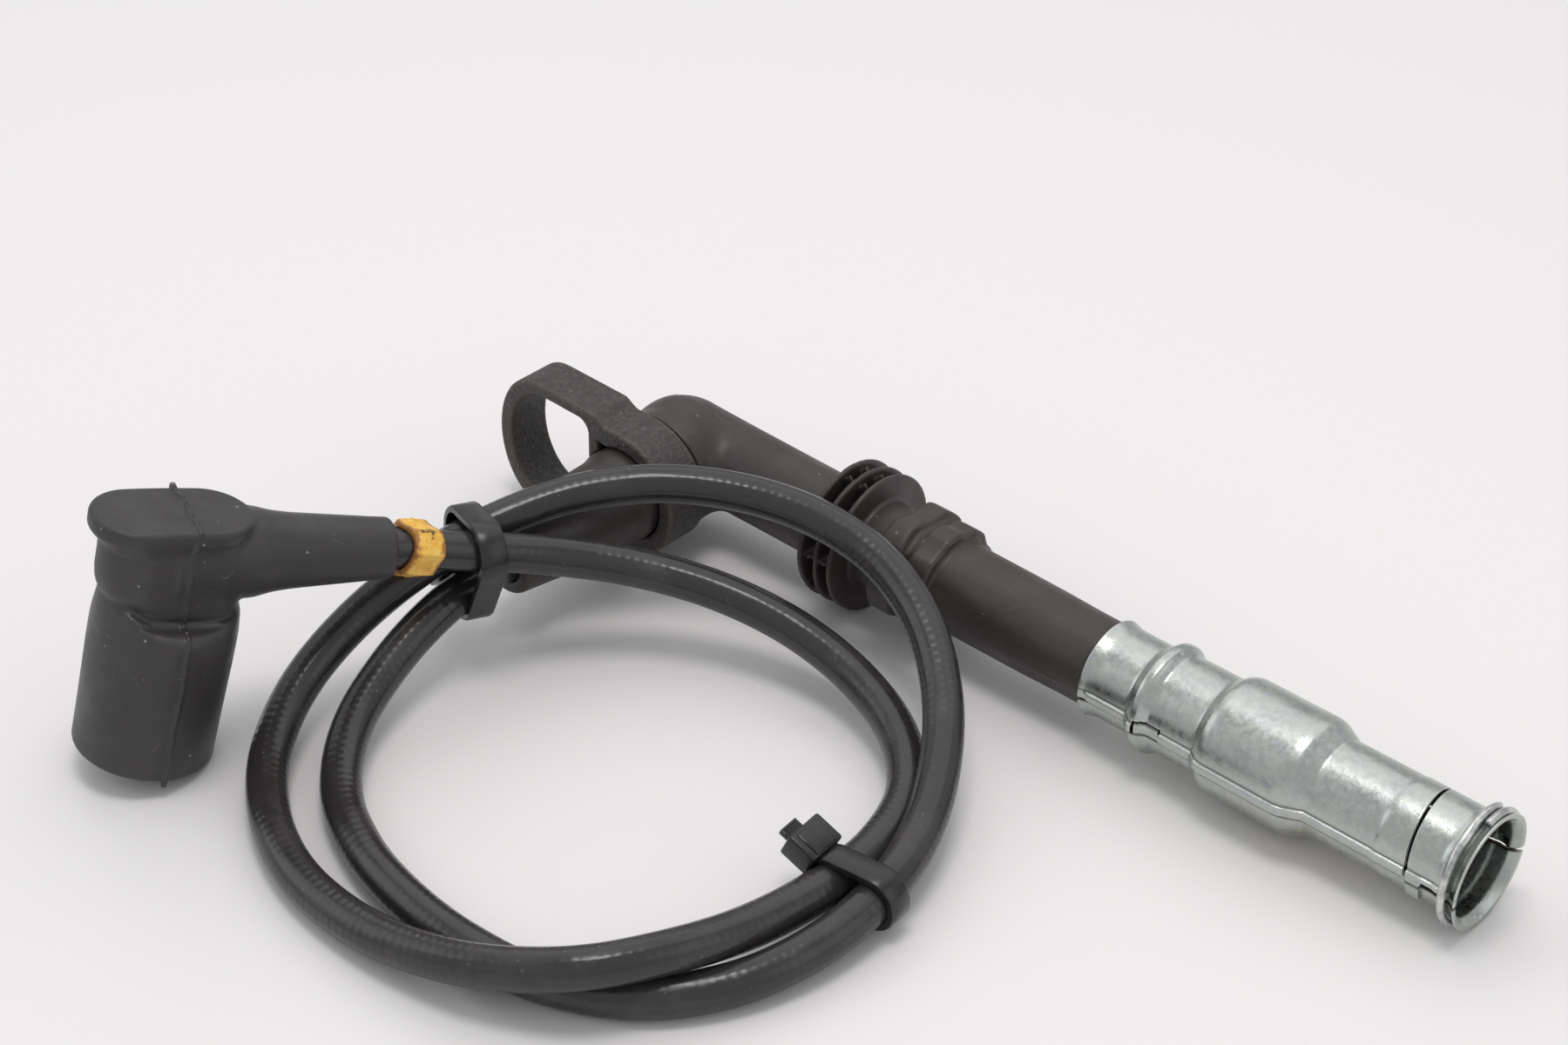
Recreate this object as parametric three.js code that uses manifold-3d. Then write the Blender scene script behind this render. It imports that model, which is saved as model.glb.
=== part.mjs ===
// Spark plug wire: a moulded rubber coil boot, a plug connector with a pressed steel shield,
// and the high-voltage cable between them, looped twice and held by two cable ties.
// Millimetres, +Z up. The plug connector lies along X with its open end toward +X.
import * as THREE from 'three';
import { mergeVertices } from 'three/addons/utils/BufferGeometryUtils.js';
import Module from 'manifold-3d';

const wasm = await Module();
wasm.setup();

// Fits
const GAP = 0.3; // clearance between pieces that touch
const LAP = 0.4; // depth by which joined volumes run into each other
const NOSE_FIT = 0.255; // clearance of the stem's rubber nose in the shield's neck

// Cable
const CABLE_R = 3.5; // jacket radius
const CABLE_SIDES = 10;
const CABLE_STEPS = 72;

// Plug connector: the pressed shield, stations measured from its rear lip
const SHEET = 0.7; // steel thickness
const NECK_R = 8.25; // outer radius behind the bead
const NECK_LIP = 0.55; // flare of the rear lip
const BEAD_S = 12; // station of the pressed bead
const BEAD_R = 9.9;
const SLEEVE_R = 8.6; // between the bead and the bulge
const BULGE_S = 25.6; // start of the full bulge
const BULGE_END_S = 40.8;
const BULGE_R = 10.8;
const BARREL_S = 45.7; // start of the long front barrel
const BARREL_R = 8.65;
const SHIELD_LENGTH = 74.4;
const PRESS_STEP_S = SHIELD_LENGTH - 15.8; // faint step of the second pressing
const PRESS_STEP = 0.12;
const GROOVE_S = SHIELD_LENGTH - 3.8; // seat of the wire ring
const GROOVE_R = 9.0;
const RIM_R = 10.5; // flared mouth
const SEAM_Z = -1.3; // height of the seam between the half shells
const SEAM_GAP = 0.3;
const HEM_TOP_Z = 0.85; // upper edge of the joggled hem on the upper half
const HEM_RISE = 0.3; // how far the hem stands proud
const SLOT_S = SHIELD_LENGTH - 10.5; // relief slot across the upper half
const SLOT_WIDTH = 0.8;
const SLOT_BACK_Y = 7.3; // the slot stops here on the far side
const LUG_S = 13.7; // lug of the lower half in its notch
const LUG_LENGTH = 3.3;
const LUG_TOP_Z = 0.8;
const TAB_S = SHIELD_LENGTH - 9.4; // tab folded down over the lower half
const TAB_LENGTH = 2.5;
const TAB_DROP = 3.8;
const WINDOW_S = TAB_S + TAB_LENGTH + 0.4; // notch behind the tab
const WINDOW_LENGTH = 2.9;
const WINDOW_HEIGHT = 0.8;
const MOUTH_NOTCH = 1.4; // gap between the halves in the flared mouth
const WIRE_R = 0.7; // snap ring wire
const WIRE_TURN_DEG = 398; // ends overlap side by side
const WIRE_START_DEG = 83;
const WIRE_SHIFT = 1.65; // sideways step in one turn
const WIRE_START_S = SHIELD_LENGTH - 1.2;

// Plug connector: rubber stem and elbow
const STEM_R = 8.0;
const STEM_NOSE_S = 7; // the rubber runs this far into the shield
const STEM_BORE_R = 5.8;
const ELBOW_S = -95; // station where stem and arm axes cross
const ELBOW_R = 11; // round swelling that fills the elbow up to the pull ring
const ELBOW_BACK = 1; // its centre lies this far behind the corner
const ELBOW_SIDE = 4; // and this far along the arm
const ELBOW_STEM_R = 8.3;
const ELBOW_BEND = 9; // the fillet inside the elbow starts this far from the corner
const ELBOW_TAPER_S = -74; // the stem reaches its own radius here
const ARM_LENGTH = 50;
const ARM_R = 8.2;
const ARM_MOUTH_R = 6.2;
const FIN_R = 13.2;
const FIN_THICKNESS = 1.0;
const FIN_PITCH = 3.4;
const FIN_COUNT = 3;
const FRONT_FIN_S = -52;
const FIN_SEAT_R = 8.6; // stem is a little thicker at the fins
const WEB_COUNT = 5;
const WEB_THICKNESS = 0.7;
const WEB_R = 12.0;
const KNOB_R = 11; // large lobe of the grip
const KNOB_S = -42.4;
const LOBE_R = 10.4; // small lobe of the grip
const LOBE_S = -36.3;
const SCALLOPS = 8;
const SCALLOP_R = 3.2;
const SCALLOP_DEPTH = 1.1;

// Pull ring
const RING_WIDTH = 9;
const RING_START = 11.5; // distance of the ring from the stem axis
const COLLAR_R = 12.0;
const RING_HALF_HEIGHT = 13.6;
const RING_REACH = 32.2; // from the arm axis to the far side of the loop
const RING_BAR = 2.4; // thickness of the loop's bars
const RING_BOW = 3.0; // thickness at the round side
const RING_ROUND = 9.6; // half length of the round side
const COLLAR_BORE_R = 9.0;
const LOOP_WALL = 2.4; // bar between loop and arm
const LOOP_CORNER_R = 2.4;
const RING_STEP_X = -7.44; // where the loop's bars step down to the collar
const RING_STEP = 1.4;
const COLLAR_DROP = 0.9; // the collar starts this far inside its full radius
const POCKET_LOW = 4.5; // small pockets beside the arm, heights from its axis
const POCKET_TOP = 8.4;
const POCKET_END = 2; // distance of their far side from the axis

// Inside the plug connector
const INSULATOR_R = STEM_BORE_R - GAP;
const INSULATOR_BORE_R = 3.4;
const INSULATOR_REAR_S = -83;
const SOCKET_R = 5.9; // room for the spark plug's insulator
const SOCKET_S = 14;
const NOSE_R = 6.6;
const NOSE_S = 50;
const SEAL_END_S = 58;
const SEAL_BORE_R = 5.2;
const CUP_R = 4.3; // cup that grips the plug's terminal nut
const CUP_BORE_R = 3.3;
const CUP_END_S = 27;
const ROD_R = 2.0;
const ROD_REAR_S = -38;
const SPRING_TURNS = 7;
const SPRING_WIRE_R = 0.4;
const SPRING_LENGTH = 18;
const RESISTOR_R = 3.0;
const RESISTOR_LENGTH = 25;
const BLOCK_R = 3.3; // contact block at the elbow
const BLOCK_LENGTH = 12;
const PIN_R = 1.2;
const FERRULE_LENGTH = 10;
const FERRULE_WALL = 0.8;
const FERRULE_END = 1.4; // thickness of the ferrule's closed end
const PLUG_CABLE_END = 20; // distance of the cable's end from the stem axis

// Coil boot, in its own axes: Z up the barrel, X along the side arm
const BOOT_FOOT_R = 11.8;
const BOOT_TOP_R = 12.1;
const BOOT_LEDGE_Z = 28.8;
const BOOT_SOCKET_R = 9.0;
const BOOT_SOCKET_Z = 25;
const HEAD_HALF_LENGTH = 13.4;
const HEAD_HALF_WIDTH = 7.6;
const HEAD_TOP_Z = 45.3;
const HEAD_SHIFT = -1.9;
const CAP_LIP = 0.6;
const CAP_LIP_Z = 3.0;
const CAP_ROUND = 0.8;
const SIDE_ARM_Z = 37.3;
const SIDE_ARM_LENGTH = 36.5;
const SIDE_ARM_R = 6.3;
const SIDE_ARM_END_R = 5.2;
const SIDE_ARM_ROOT_R = 7.7;
const SIDE_CHAMBER_R = 5.0;
const SIDE_CHAMBER_END = 22;
const MOULD_RIDGE = 0.5;
const SCOOP_SIZE = [8.5, 4.2, 5.0];
const COIL_CABLE_END = 10; // distance of the cable's end from the barrel axis
const COIL_CUP_R = 4.0;
const COIL_CUP_BORE_R = 2.9;
const COIL_CUP_Z = 12;
const CLIP_WIRE_R = 0.45;
const BOOT_PLACE = new THREE.Vector3(-113.2, -116.07, 3.12);
const BOOT_UP = new THREE.Vector3(0.11007, 0.23934, 0.96468);
const BOOT_ARM_WAY = new THREE.Vector3(0.35955, 0.89526, -0.26314);

// Cable ties and marker
const TIE_WIDTH = 4.8;
const TIE_THICKNESS = 1.2;
const TIE_HEAD = [4.8, 7.8, 6.0]; // along the strap, across it, and outward
const TIE_TAIL = 2.0; // cropped end beyond the head
const TIE_TAIL_SHIFT = 0.8;
const REAR_HEAD_DEG = -40; // where the heads stand on their belts
const FRONT_HEAD_DEG = 25;
const MARKER_WIDTH = 6.0;
const MARKER_WALL = 0.8;
const MARKER_TURN = 0.65; // turns a flat toward the strand that passes below
const MARKER_OFFSET = 5.4; // centre of the marker from the end of the coil boot's arm

// The cable's free route from the coil boot's arm to the plug connector's arm,
// two turns lying on the table in front and leaning on the connector behind.
const CABLE_ROUTE = [
  [-90.5, -61.6, 24.8], [-83.3, -49.3, 21.0], [-73.6, -38.8, 17.7], [-61.5, -31.1, 14.6],
  [-47.8, -27.0, 11.5], [-33.4, -27.0, 8.5], [-19.8, -31.5, 6.3], [-9.1, -41.3, 5.4],
  [-3.8, -54.9, 5.5], [-2.7, -69.5, 6.2], [-3.7, -83.9, 7.6], [-6.3, -98.1, 10.4],
  [-13.4, -110.8, 11.0], [-25.7, -118.3, 8.6], [-39.7, -121.8, 5.9], [-54.3, -122.5, 4.2],
  [-68.8, -120.3, 3.6], [-82.1, -114.3, 3.7], [-93.2, -104.8, 5.1], [-100.0, -92.4, 8.6],
  [-101.3, -78.9, 14.1], [-98.8, -65.6, 19.7], [-94.5, -52.1, 23.8], [-88.6, -38.9, 25.9],
  [-79.9, -27.1, 26.4], [-68.0, -18.6, 25.9], [-54.0, -14.1, 24.8], [-39.6, -13.8, 22.5],
  [-26.1, -18.0, 18.6], [-14.8, -26.1, 14.0], [-5.8, -37.0, 10.2], [1.1, -49.8, 7.7],
  [4.7, -63.9, 6.0], [4.7, -78.5, 4.8], [0.4, -92.5, 3.9], [-8.5, -104.1, 3.6],
  [-21.2, -111.3, 3.7], [-35.7, -113.8, 3.9], [-50.3, -113.0, 3.8], [-64.6, -109.6, 3.7],
  [-77.7, -102.9, 4.0], [-87.3, -92.1, 6.2], [-92.1, -78.8, 9.9], [-93.9, -64.7, 13.5],
];

const X = new THREE.Vector3(1, 0, 0);
const Z = new THREE.Vector3(0, 0, 1);

const MATERIALS = {
  rubber: new THREE.MeshStandardMaterial({ color: 0x2b2927, roughness: 0.75, metalness: 0 }),
  jacket: new THREE.MeshStandardMaterial({ color: 0x232323, roughness: 0.4, metalness: 0 }),
  pull: new THREE.MeshStandardMaterial({ color: 0x3d3a36, roughness: 0.7, metalness: 0 }),
  zinc: new THREE.MeshStandardMaterial({ color: 0xb9bdb4, roughness: 0.35, metalness: 0.9 }),
  wire: new THREE.MeshStandardMaterial({ color: 0xa9a9a4, roughness: 0.3, metalness: 1 }),
  brass: new THREE.MeshStandardMaterial({ color: 0xb08d4f, roughness: 0.35, metalness: 1 }),
  ceramic: new THREE.MeshStandardMaterial({ color: 0x6d5a46, roughness: 0.6, metalness: 0 }),
  plastic: new THREE.MeshStandardMaterial({ color: 0x34302c, roughness: 0.5, metalness: 0 }),
  nylon: new THREE.MeshStandardMaterial({ color: 0x141414, roughness: 0.3, metalness: 0 }),
  marker: new THREE.MeshStandardMaterial({ color: 0xd9a02c, roughness: 0.6, metalness: 0 }),
};

// Turns a closed geometry into a solid that can be joined and cut.
function solid(geometry) {
  const bare = geometry.clone();
  bare.deleteAttribute('normal');
  bare.deleteAttribute('uv');
  const merged = mergeVertices(bare, 1e-4);
  return new wasm.Manifold(new wasm.Mesh({
    numProp: 3,
    vertProperties: new Float32Array(merged.attributes.position.array),
    triVerts: new Uint32Array(merged.index.array),
  }));
}

// Turns a solid back into a geometry.
function geometryOf(shape) {
  const mesh = shape.getMesh();
  const geometry = new THREE.BufferGeometry();
  geometry.setAttribute('position', new THREE.BufferAttribute(mesh.vertProperties, 3));
  geometry.setIndex(new THREE.BufferAttribute(mesh.triVerts, 1));
  geometry.computeVertexNormals();
  return geometry;
}

// A named mesh of a solid or a closed geometry.
function piece(name, shape, material) {
  const geometry = shape.isBufferGeometry ? shape : geometryOf(shape);
  const mesh = new THREE.Mesh(geometry, material);
  mesh.name = name;
  return mesh;
}

// A solid turned about X from [station, radius] pairs, given from the rear to the front
// along the outside and, for a tube, back along the inside.
function turned(profile, segments = 40) {
  const points = profile.map(([s, r]) => new THREE.Vector2(r, s));
  const geometry = new THREE.LatheGeometry(points, segments);
  geometry.rotateZ(-Math.PI / 2);
  return solid(geometry);
}

// The same, as a full rod: the profile is closed on the axis at both ends.
function rod(profile, segments = 40) {
  return turned([[profile[0][0], 0], ...profile, [profile[profile.length - 1][0], 0]], segments);
}

// A tube: the outer and inner pairs both run from the rear to the front.
function tube(outer, inner, segments = 40) {
  return turned([...outer, ...inner.slice().reverse(), outer[0]], segments);
}

// A box from its low and high corners.
function block(low, high) {
  const size = high.map((value, axis) => value - low[axis]);
  const geometry = new THREE.BoxGeometry(...size);
  geometry.translate(...low.map((value, axis) => value + size[axis] / 2));
  return solid(geometry);
}

// A solid moved by a matrix.
function placed(shape, matrix) {
  return solid(geometryOf(shape).applyMatrix4(matrix));
}

// A rod or tube that was turned about X, laid along another axis from a start point.
function along(shape, way, start) {
  const turn = new THREE.Quaternion().setFromUnitVectors(X, way.clone().normalize());
  return placed(shape, new THREE.Matrix4().compose(start, turn, new THREE.Vector3(1, 1, 1)));
}

// A round bar of the given radius carried along a curve.
function bar(curve, radius, sides, steps) {
  const section = new THREE.Shape();
  for (let i = 0; i < sides; i += 1) {
    const angle = (i / sides) * Math.PI * 2;
    const x = Math.cos(angle) * radius;
    const y = Math.sin(angle) * radius;
    if (i === 0) section.moveTo(x, y);
    else section.lineTo(x, y);
  }
  section.closePath();
  return new THREE.ExtrudeGeometry(section, { extrudePath: curve, steps, bevelEnabled: false });
}

// The outline pushed inward by the sheet's thickness, at right angles to itself.
function pushedIn(outline, thickness) {
  return outline.map(([s, r], i) => {
    const before = outline[Math.max(i - 1, 0)];
    const after = outline[Math.min(i + 1, outline.length - 1)];
    const ds = after[0] - before[0];
    const dr = after[1] - before[1];
    const length = Math.hypot(ds, dr);
    const end = i === 0 || i === outline.length - 1;
    const shift = end ? 0 : (thickness * dr) / length;
    return [s + shift, r - (thickness * ds) / length];
  });
}

// Shield: two pressed half shells that meet along a seam on either side

// Outside of the pressed steel shield, from the rear lip to the flared mouth.
const SHIELD_OUTLINE = [
  [0, NECK_R + NECK_LIP], [0.9, NECK_R + NECK_LIP * 0.6], [2.4, NECK_R],
  [BEAD_S - 2.4, NECK_R], [BEAD_S - 0.9, BEAD_R - 0.3], [BEAD_S, BEAD_R],
  [BEAD_S + 0.9, BEAD_R - 0.3], [BEAD_S + 2.2, SLEEVE_R], [BULGE_S - 2.4, SLEEVE_R],
  [BULGE_S - 0.6, BULGE_R - 0.45], [BULGE_S + 0.9, BULGE_R], [BULGE_END_S - 0.6, BULGE_R],
  [BULGE_END_S + 0.9, BULGE_R - 0.45], [BARREL_S, BARREL_R], [PRESS_STEP_S - 0.25, BARREL_R],
  [PRESS_STEP_S + 0.25, BARREL_R + PRESS_STEP], [GROOVE_S - 1, BARREL_R + PRESS_STEP],
  [GROOVE_S, GROOVE_R], [SHIELD_LENGTH - 1.4, GROOVE_R], [SHIELD_LENGTH - 0.5, GROOVE_R + 0.55],
  [SHIELD_LENGTH, RIM_R],
];
const SHIELD_SEGMENTS = 28;
const FAR = 30; // reach of the boxes that cut the halves

function shieldShell() {
  return tube(SHIELD_OUTLINE, pushedIn(SHIELD_OUTLINE, SHEET), SHIELD_SEGMENTS);
}

// The shell's skin with its outside raised by the hem's rise.
function hemShell() {
  const raised = SHIELD_OUTLINE.slice(0, -3).map(([s, r]) => [s, r + HEM_RISE]);
  return tube(raised, pushedIn(SHIELD_OUTLINE, SHEET / 2).slice(0, -3), SHIELD_SEGMENTS);
}

function shieldUpper() {
  const hemLow = SEAM_Z + SEAM_GAP / 2;
  const above = block([-1, -FAR, hemLow], [SHIELD_LENGTH + 1, FAR, FAR]);
  const band = block([-1, -FAR, hemLow], [SHIELD_LENGTH + 1, FAR, HEM_TOP_Z]);
  const tabEnd = TAB_S + TAB_LENGTH;
  const tabTop = BARREL_R + PRESS_STEP + HEM_RISE;
  const tabRing = (inner) => tube([[TAB_S, tabTop + SHEET], [tabEnd, tabTop + SHEET]],
    [[TAB_S, inner], [tabEnd, inner]], SHIELD_SEGMENTS);
  const foldTop = block([TAB_S, -FAR, hemLow], [tabEnd, 0, 0]);
  const foldDrop = block([TAB_S, -FAR, SEAM_Z - TAB_DROP], [tabEnd, 0, hemLow + LAP]);
  const slot = block([SLOT_S, -FAR, hemLow - 1], [SLOT_S + SLOT_WIDTH, SLOT_BACK_Y, FAR]);
  const notch = block([LUG_S - GAP, -FAR, hemLow - 1],
    [LUG_S + LUG_LENGTH + GAP, 0, LUG_TOP_Z + GAP]);
  const window = block([WINDOW_S, -FAR, hemLow - 1], [WINDOW_S + WINDOW_LENGTH, 0, hemLow + WINDOW_HEIGHT]);
  const mouth = block([GROOVE_S + 1.8, -FAR, hemLow - 1],
    [SHIELD_LENGTH + 1, FAR, SEAM_Z + MOUTH_NOTCH / 2]);
  return shieldShell().intersect(above)
    .add(hemShell().intersect(band))
    .add(tabRing(BARREL_R - SHEET / 2).intersect(foldTop))
    .add(tabRing(tabTop).intersect(foldDrop))
    .subtract(slot)
    .subtract(notch)
    .subtract(window)
    .subtract(mouth);
}

function shieldLower() {
  const edge = SEAM_Z - SEAM_GAP / 2;
  const below = block([-1, -FAR, -FAR], [SHIELD_LENGTH + 1, FAR, edge]);
  const lug = block([LUG_S, -FAR, edge - LAP], [LUG_S + LUG_LENGTH, -1, LUG_TOP_Z]);
  const mouth = block([GROOVE_S + 1.8, -FAR, SEAM_Z - MOUTH_NOTCH / 2],
    [SHIELD_LENGTH + 1, FAR, edge + 1]);
  const shell = shieldShell();
  return shell.intersect(below).add(shell.intersect(lug)).subtract(mouth);
}

// Sprung wire ring in the groove behind the flared mouth, its ends side by side.
function snapRing() {
  const radius = GROOVE_R + GAP + WIRE_R;
  const points = [];
  const steps = 44;
  for (let i = 0; i <= steps; i += 1) {
    const share = i / steps;
    const angle = THREE.MathUtils.degToRad(WIRE_START_DEG + share * WIRE_TURN_DEG);
    const station = WIRE_START_S - share * WIRE_SHIFT * (WIRE_TURN_DEG / 360);
    points.push(new THREE.Vector3(station, -Math.cos(angle) * radius, Math.sin(angle) * radius));
  }
  return bar(new THREE.CatmullRomCurve3(points), WIRE_R, 6, 44);
}

// Rubber boot of the plug connector

const STEM_SEGMENTS = 26;

function stemSolid() {
  const nose = NECK_R - SHEET - NOSE_FIT;
  const rearFin = FRONT_FIN_S - FIN_PITCH * (FIN_COUNT - 1);
  return rod([
    [ELBOW_S, ELBOW_STEM_R], [ELBOW_TAPER_S, STEM_R],
    [rearFin - 2, STEM_R], [rearFin - 1, FIN_SEAT_R], [KNOB_S - 3.4, FIN_SEAT_R],
    [KNOB_S - 3, KNOB_R - 2.2], [KNOB_S - 1.4, KNOB_R - 0.3], [KNOB_S + 0.6, KNOB_R],
    [KNOB_S + 2.6, KNOB_R - 1.0], [KNOB_S + 4.6, LOBE_R - 1.1],
    [LOBE_S - 1.2, LOBE_R], [LOBE_S + 1.2, LOBE_R - 0.3], [LOBE_S + 3.2, STEM_R],
    [-14, STEM_R], [-7, STEM_R - 0.25], [-0.8, STEM_R - 0.2],
    [-GAP, STEM_R - 0.45], [-GAP, nose], [STEM_NOSE_S, nose],
  ], STEM_SEGMENTS);
}

function finSolid(index) {
  const s = FRONT_FIN_S - index * FIN_PITCH;
  const half = FIN_THICKNESS / 2;
  return rod([[s - half, STEM_R], [s - half * 0.5, FIN_R], [s + half * 0.5, FIN_R],
    [s + half, STEM_R]], STEM_SEGMENTS);
}

// Thin radial webs that stiffen the fins, one plate through all of them.
function webSolid(index) {
  const span = FIN_PITCH * (FIN_COUNT - 1);
  const plate = block([FRONT_FIN_S - span, -WEB_THICKNESS / 2, STEM_R - 1],
    [FRONT_FIN_S, WEB_THICKNESS / 2, WEB_R]);
  const turn = new THREE.Matrix4().makeRotationX((index / WEB_COUNT) * Math.PI * 2 + 0.25);
  return placed(plate, turn);
}

// Grooves that scallop the large lobe of the grip.
function scallopSolid(index) {
  const angle = ((index + 0.5) / SCALLOPS) * Math.PI * 2;
  const reach = KNOB_R + SCALLOP_R - SCALLOP_DEPTH;
  const cutter = rod([[KNOB_S - 4, SCALLOP_R], [KNOB_S + 4, SCALLOP_R]], 12);
  const place = new THREE.Matrix4().makeTranslation(
    0, Math.cos(angle) * reach, Math.sin(angle) * reach);
  return placed(cutter, place);
}

// The side arm, turned about its own axis with the elbow at its root.
function armSolid() {
  const ringEnd = RING_START + RING_WIDTH;
  const seat = COLLAR_BORE_R - GAP;
  return rod([
    [0, ELBOW_STEM_R], [ELBOW_SIDE, ELBOW_R], [RING_START - GAP, ELBOW_R + 0.2],
    [RING_START - GAP, seat], [ringEnd + GAP, seat], [ringEnd + GAP, seat + 0.5],
    [ringEnd + 1.2, seat + 0.5], [ringEnd + 2.2, ARM_R], [ARM_LENGTH - 14, ARM_R - 0.3],
    [ARM_LENGTH - 7, ARM_MOUTH_R + 0.7], [ARM_LENGTH - 1, ARM_MOUTH_R],
    [ARM_LENGTH, ARM_MOUTH_R - 0.8],
  ], STEM_SEGMENTS);
}

function plugBoot() {
  const corner = new THREE.Vector3(ELBOW_S, 0, 0);
  const minusY = new THREE.Vector3(0, -1, 0);
  const knee = new THREE.SphereGeometry(ELBOW_R, 24, 14);
  knee.translate(ELBOW_S - ELBOW_BACK, -ELBOW_SIDE, 0);
  const bend = new THREE.QuadraticBezierCurve3(new THREE.Vector3(ELBOW_S + ELBOW_BEND, 0, 0),
    corner, new THREE.Vector3(ELBOW_S, -ELBOW_BEND, 0));
  let body = stemSolid();
  for (let i = 0; i < SCALLOPS; i += 1) body = body.subtract(scallopSolid(i));
  for (let i = 0; i < FIN_COUNT; i += 1) body = body.add(finSolid(i));
  for (let i = 0; i < WEB_COUNT; i += 1) body = body.add(webSolid(i));
  body = body.add(solid(knee)).add(solid(bar(bend, STEM_R, 20, 8)))
    .add(along(armSolid(), minusY, corner));
  const stemBore = rod([[INSULATOR_REAR_S - GAP, STEM_BORE_R], [STEM_NOSE_S + 1, STEM_BORE_R]], 24);
  const blockRoom = rod([[ELBOW_S - BLOCK_LENGTH / 2 + 1, BLOCK_R + GAP],
    [INSULATOR_REAR_S, BLOCK_R + GAP]], 20);
  const ferruleR = CABLE_R + GAP + FERRULE_WALL;
  const ferruleStart = PLUG_CABLE_END - FERRULE_END - GAP;
  const armBore = along(rod([
    [0, PIN_R + GAP], [ferruleStart - GAP, PIN_R + GAP], [ferruleStart - GAP, ferruleR + GAP],
    [PLUG_CABLE_END + FERRULE_LENGTH + GAP, ferruleR + GAP],
    [PLUG_CABLE_END + FERRULE_LENGTH + GAP, CABLE_R + GAP], [ARM_LENGTH + 1, CABLE_R + GAP],
  ], 20), minusY, corner);
  return body.subtract(stemBore).subtract(blockRoom).subtract(armBore);
}

// Pull ring: one flat moulding with a collar round the arm and a finger loop beside it

function pullRing() {
  const outline = new THREE.Shape();
  const roundX = -RING_REACH + RING_ROUND;
  outline.absellipse(roundX, 0, RING_ROUND, RING_HALF_HEIGHT, Math.PI / 2, Math.PI * 1.5, false);
  outline.lineTo(RING_STEP_X, -RING_HALF_HEIGHT);
  outline.lineTo(RING_STEP_X + RING_STEP, -COLLAR_R + COLLAR_DROP);
  outline.lineTo(0, -COLLAR_R);
  outline.absarc(0, 0, COLLAR_R, -Math.PI / 2, Math.PI / 2, false);
  outline.lineTo(RING_STEP_X + RING_STEP, COLLAR_R - COLLAR_DROP);
  outline.lineTo(RING_STEP_X, RING_HALF_HEIGHT);
  outline.lineTo(roundX, RING_HALF_HEIGHT);
  const loop = new THREE.Path();
  const loopRight = -COLLAR_BORE_R;
  const loopTop = RING_HALF_HEIGHT - RING_BAR;
  const corner = LOOP_CORNER_R;
  loop.absellipse(roundX, 0, RING_ROUND - RING_BOW, loopTop, Math.PI / 2, Math.PI * 1.5, false);
  loop.lineTo(loopRight - corner, -loopTop);
  loop.absarc(loopRight - corner, -loopTop + corner, corner, -Math.PI / 2, 0, false);
  loop.lineTo(loopRight, loopTop - corner);
  loop.absarc(loopRight - corner, loopTop - corner, corner, 0, Math.PI / 2, false);
  loop.lineTo(roundX, loopTop);
  outline.holes.push(loop);
  const flat = new THREE.ExtrudeGeometry(outline, {
    depth: RING_WIDTH, bevelEnabled: false, curveSegments: 14,
  });
  const bore = rod([[-1, COLLAR_BORE_R], [RING_WIDTH + 1, COLLAR_BORE_R]], 36);
  const pocket = (side) => block(
    [loopRight + LOOP_WALL, Math.min(side * POCKET_LOW, side * POCKET_TOP), -1],
    [-POCKET_END, Math.max(side * POCKET_LOW, side * POCKET_TOP), RING_WIDTH + 1]);
  const boreUp = along(bore, Z, new THREE.Vector3());
  // The wall between loop and collar stays at least this thick beside the arm.
  const wall = block([loopRight - 0.01, -RING_HALF_HEIGHT + 1, 0],
    [loopRight + 0.9, RING_HALF_HEIGHT - 1, RING_WIDTH]);
  const ring = solid(flat).subtract(boreUp.add(pocket(1)).add(pocket(-1)));
  const body = ring.add(wall.subtract(boreUp));
  // Stands the outline up: its X stays X, its Y becomes Z and its depth runs along -Y.
  const stand = new THREE.Matrix4().makeRotationX(Math.PI / 2);
  stand.premultiply(new THREE.Matrix4().makeTranslation(ELBOW_S, -RING_START, 0));
  return placed(body, stand);
}

// Inside the plug connector

function insulatorBody() {
  const shieldIn = (r) => r - SHEET - GAP;
  return tube([
    [INSULATOR_REAR_S, INSULATOR_R], [STEM_NOSE_S + GAP, INSULATOR_R],
    [STEM_NOSE_S + GAP, shieldIn(NECK_R)], [BEAD_S - 2.6, shieldIn(NECK_R)],
    [BEAD_S - 0.6, shieldIn(BEAD_R) - 0.3], [BEAD_S + 0.6, shieldIn(BEAD_R) - 0.3],
    [BEAD_S + 2.6, shieldIn(SLEEVE_R)], [BULGE_S - 1.2, shieldIn(SLEEVE_R)],
    [BULGE_S + 1.4, shieldIn(BULGE_R)], [BULGE_END_S - 1.2, shieldIn(BULGE_R)],
    [BARREL_S - 1, NOSE_R], [NOSE_S, NOSE_R],
  ], [
    [INSULATOR_REAR_S, INSULATOR_BORE_R], [SOCKET_S, INSULATOR_BORE_R],
    [SOCKET_S, SOCKET_R], [NOSE_S, SOCKET_R],
  ], 28);
}

// Soft sleeve on the insulator's nose, with two lips that seal on the spark plug.
function plugSeal() {
  const outer = BARREL_R - SHEET - GAP;
  const start = BARREL_S + 0.6;
  return tube([[start, outer], [SEAL_END_S - 1, outer], [SEAL_END_S, outer - 0.8]], [
    [start, NOSE_R + GAP], [NOSE_S + GAP, NOSE_R + GAP], [NOSE_S + GAP, SEAL_BORE_R + 0.4],
    [NOSE_S + 2, SEAL_BORE_R + 0.4], [NOSE_S + 2.6, SEAL_BORE_R], [NOSE_S + 3.2, SEAL_BORE_R + 0.4],
    [NOSE_S + 5, SEAL_BORE_R + 0.4], [NOSE_S + 5.6, SEAL_BORE_R], [SEAL_END_S, SEAL_BORE_R + 0.6],
  ], 24);
}

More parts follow.
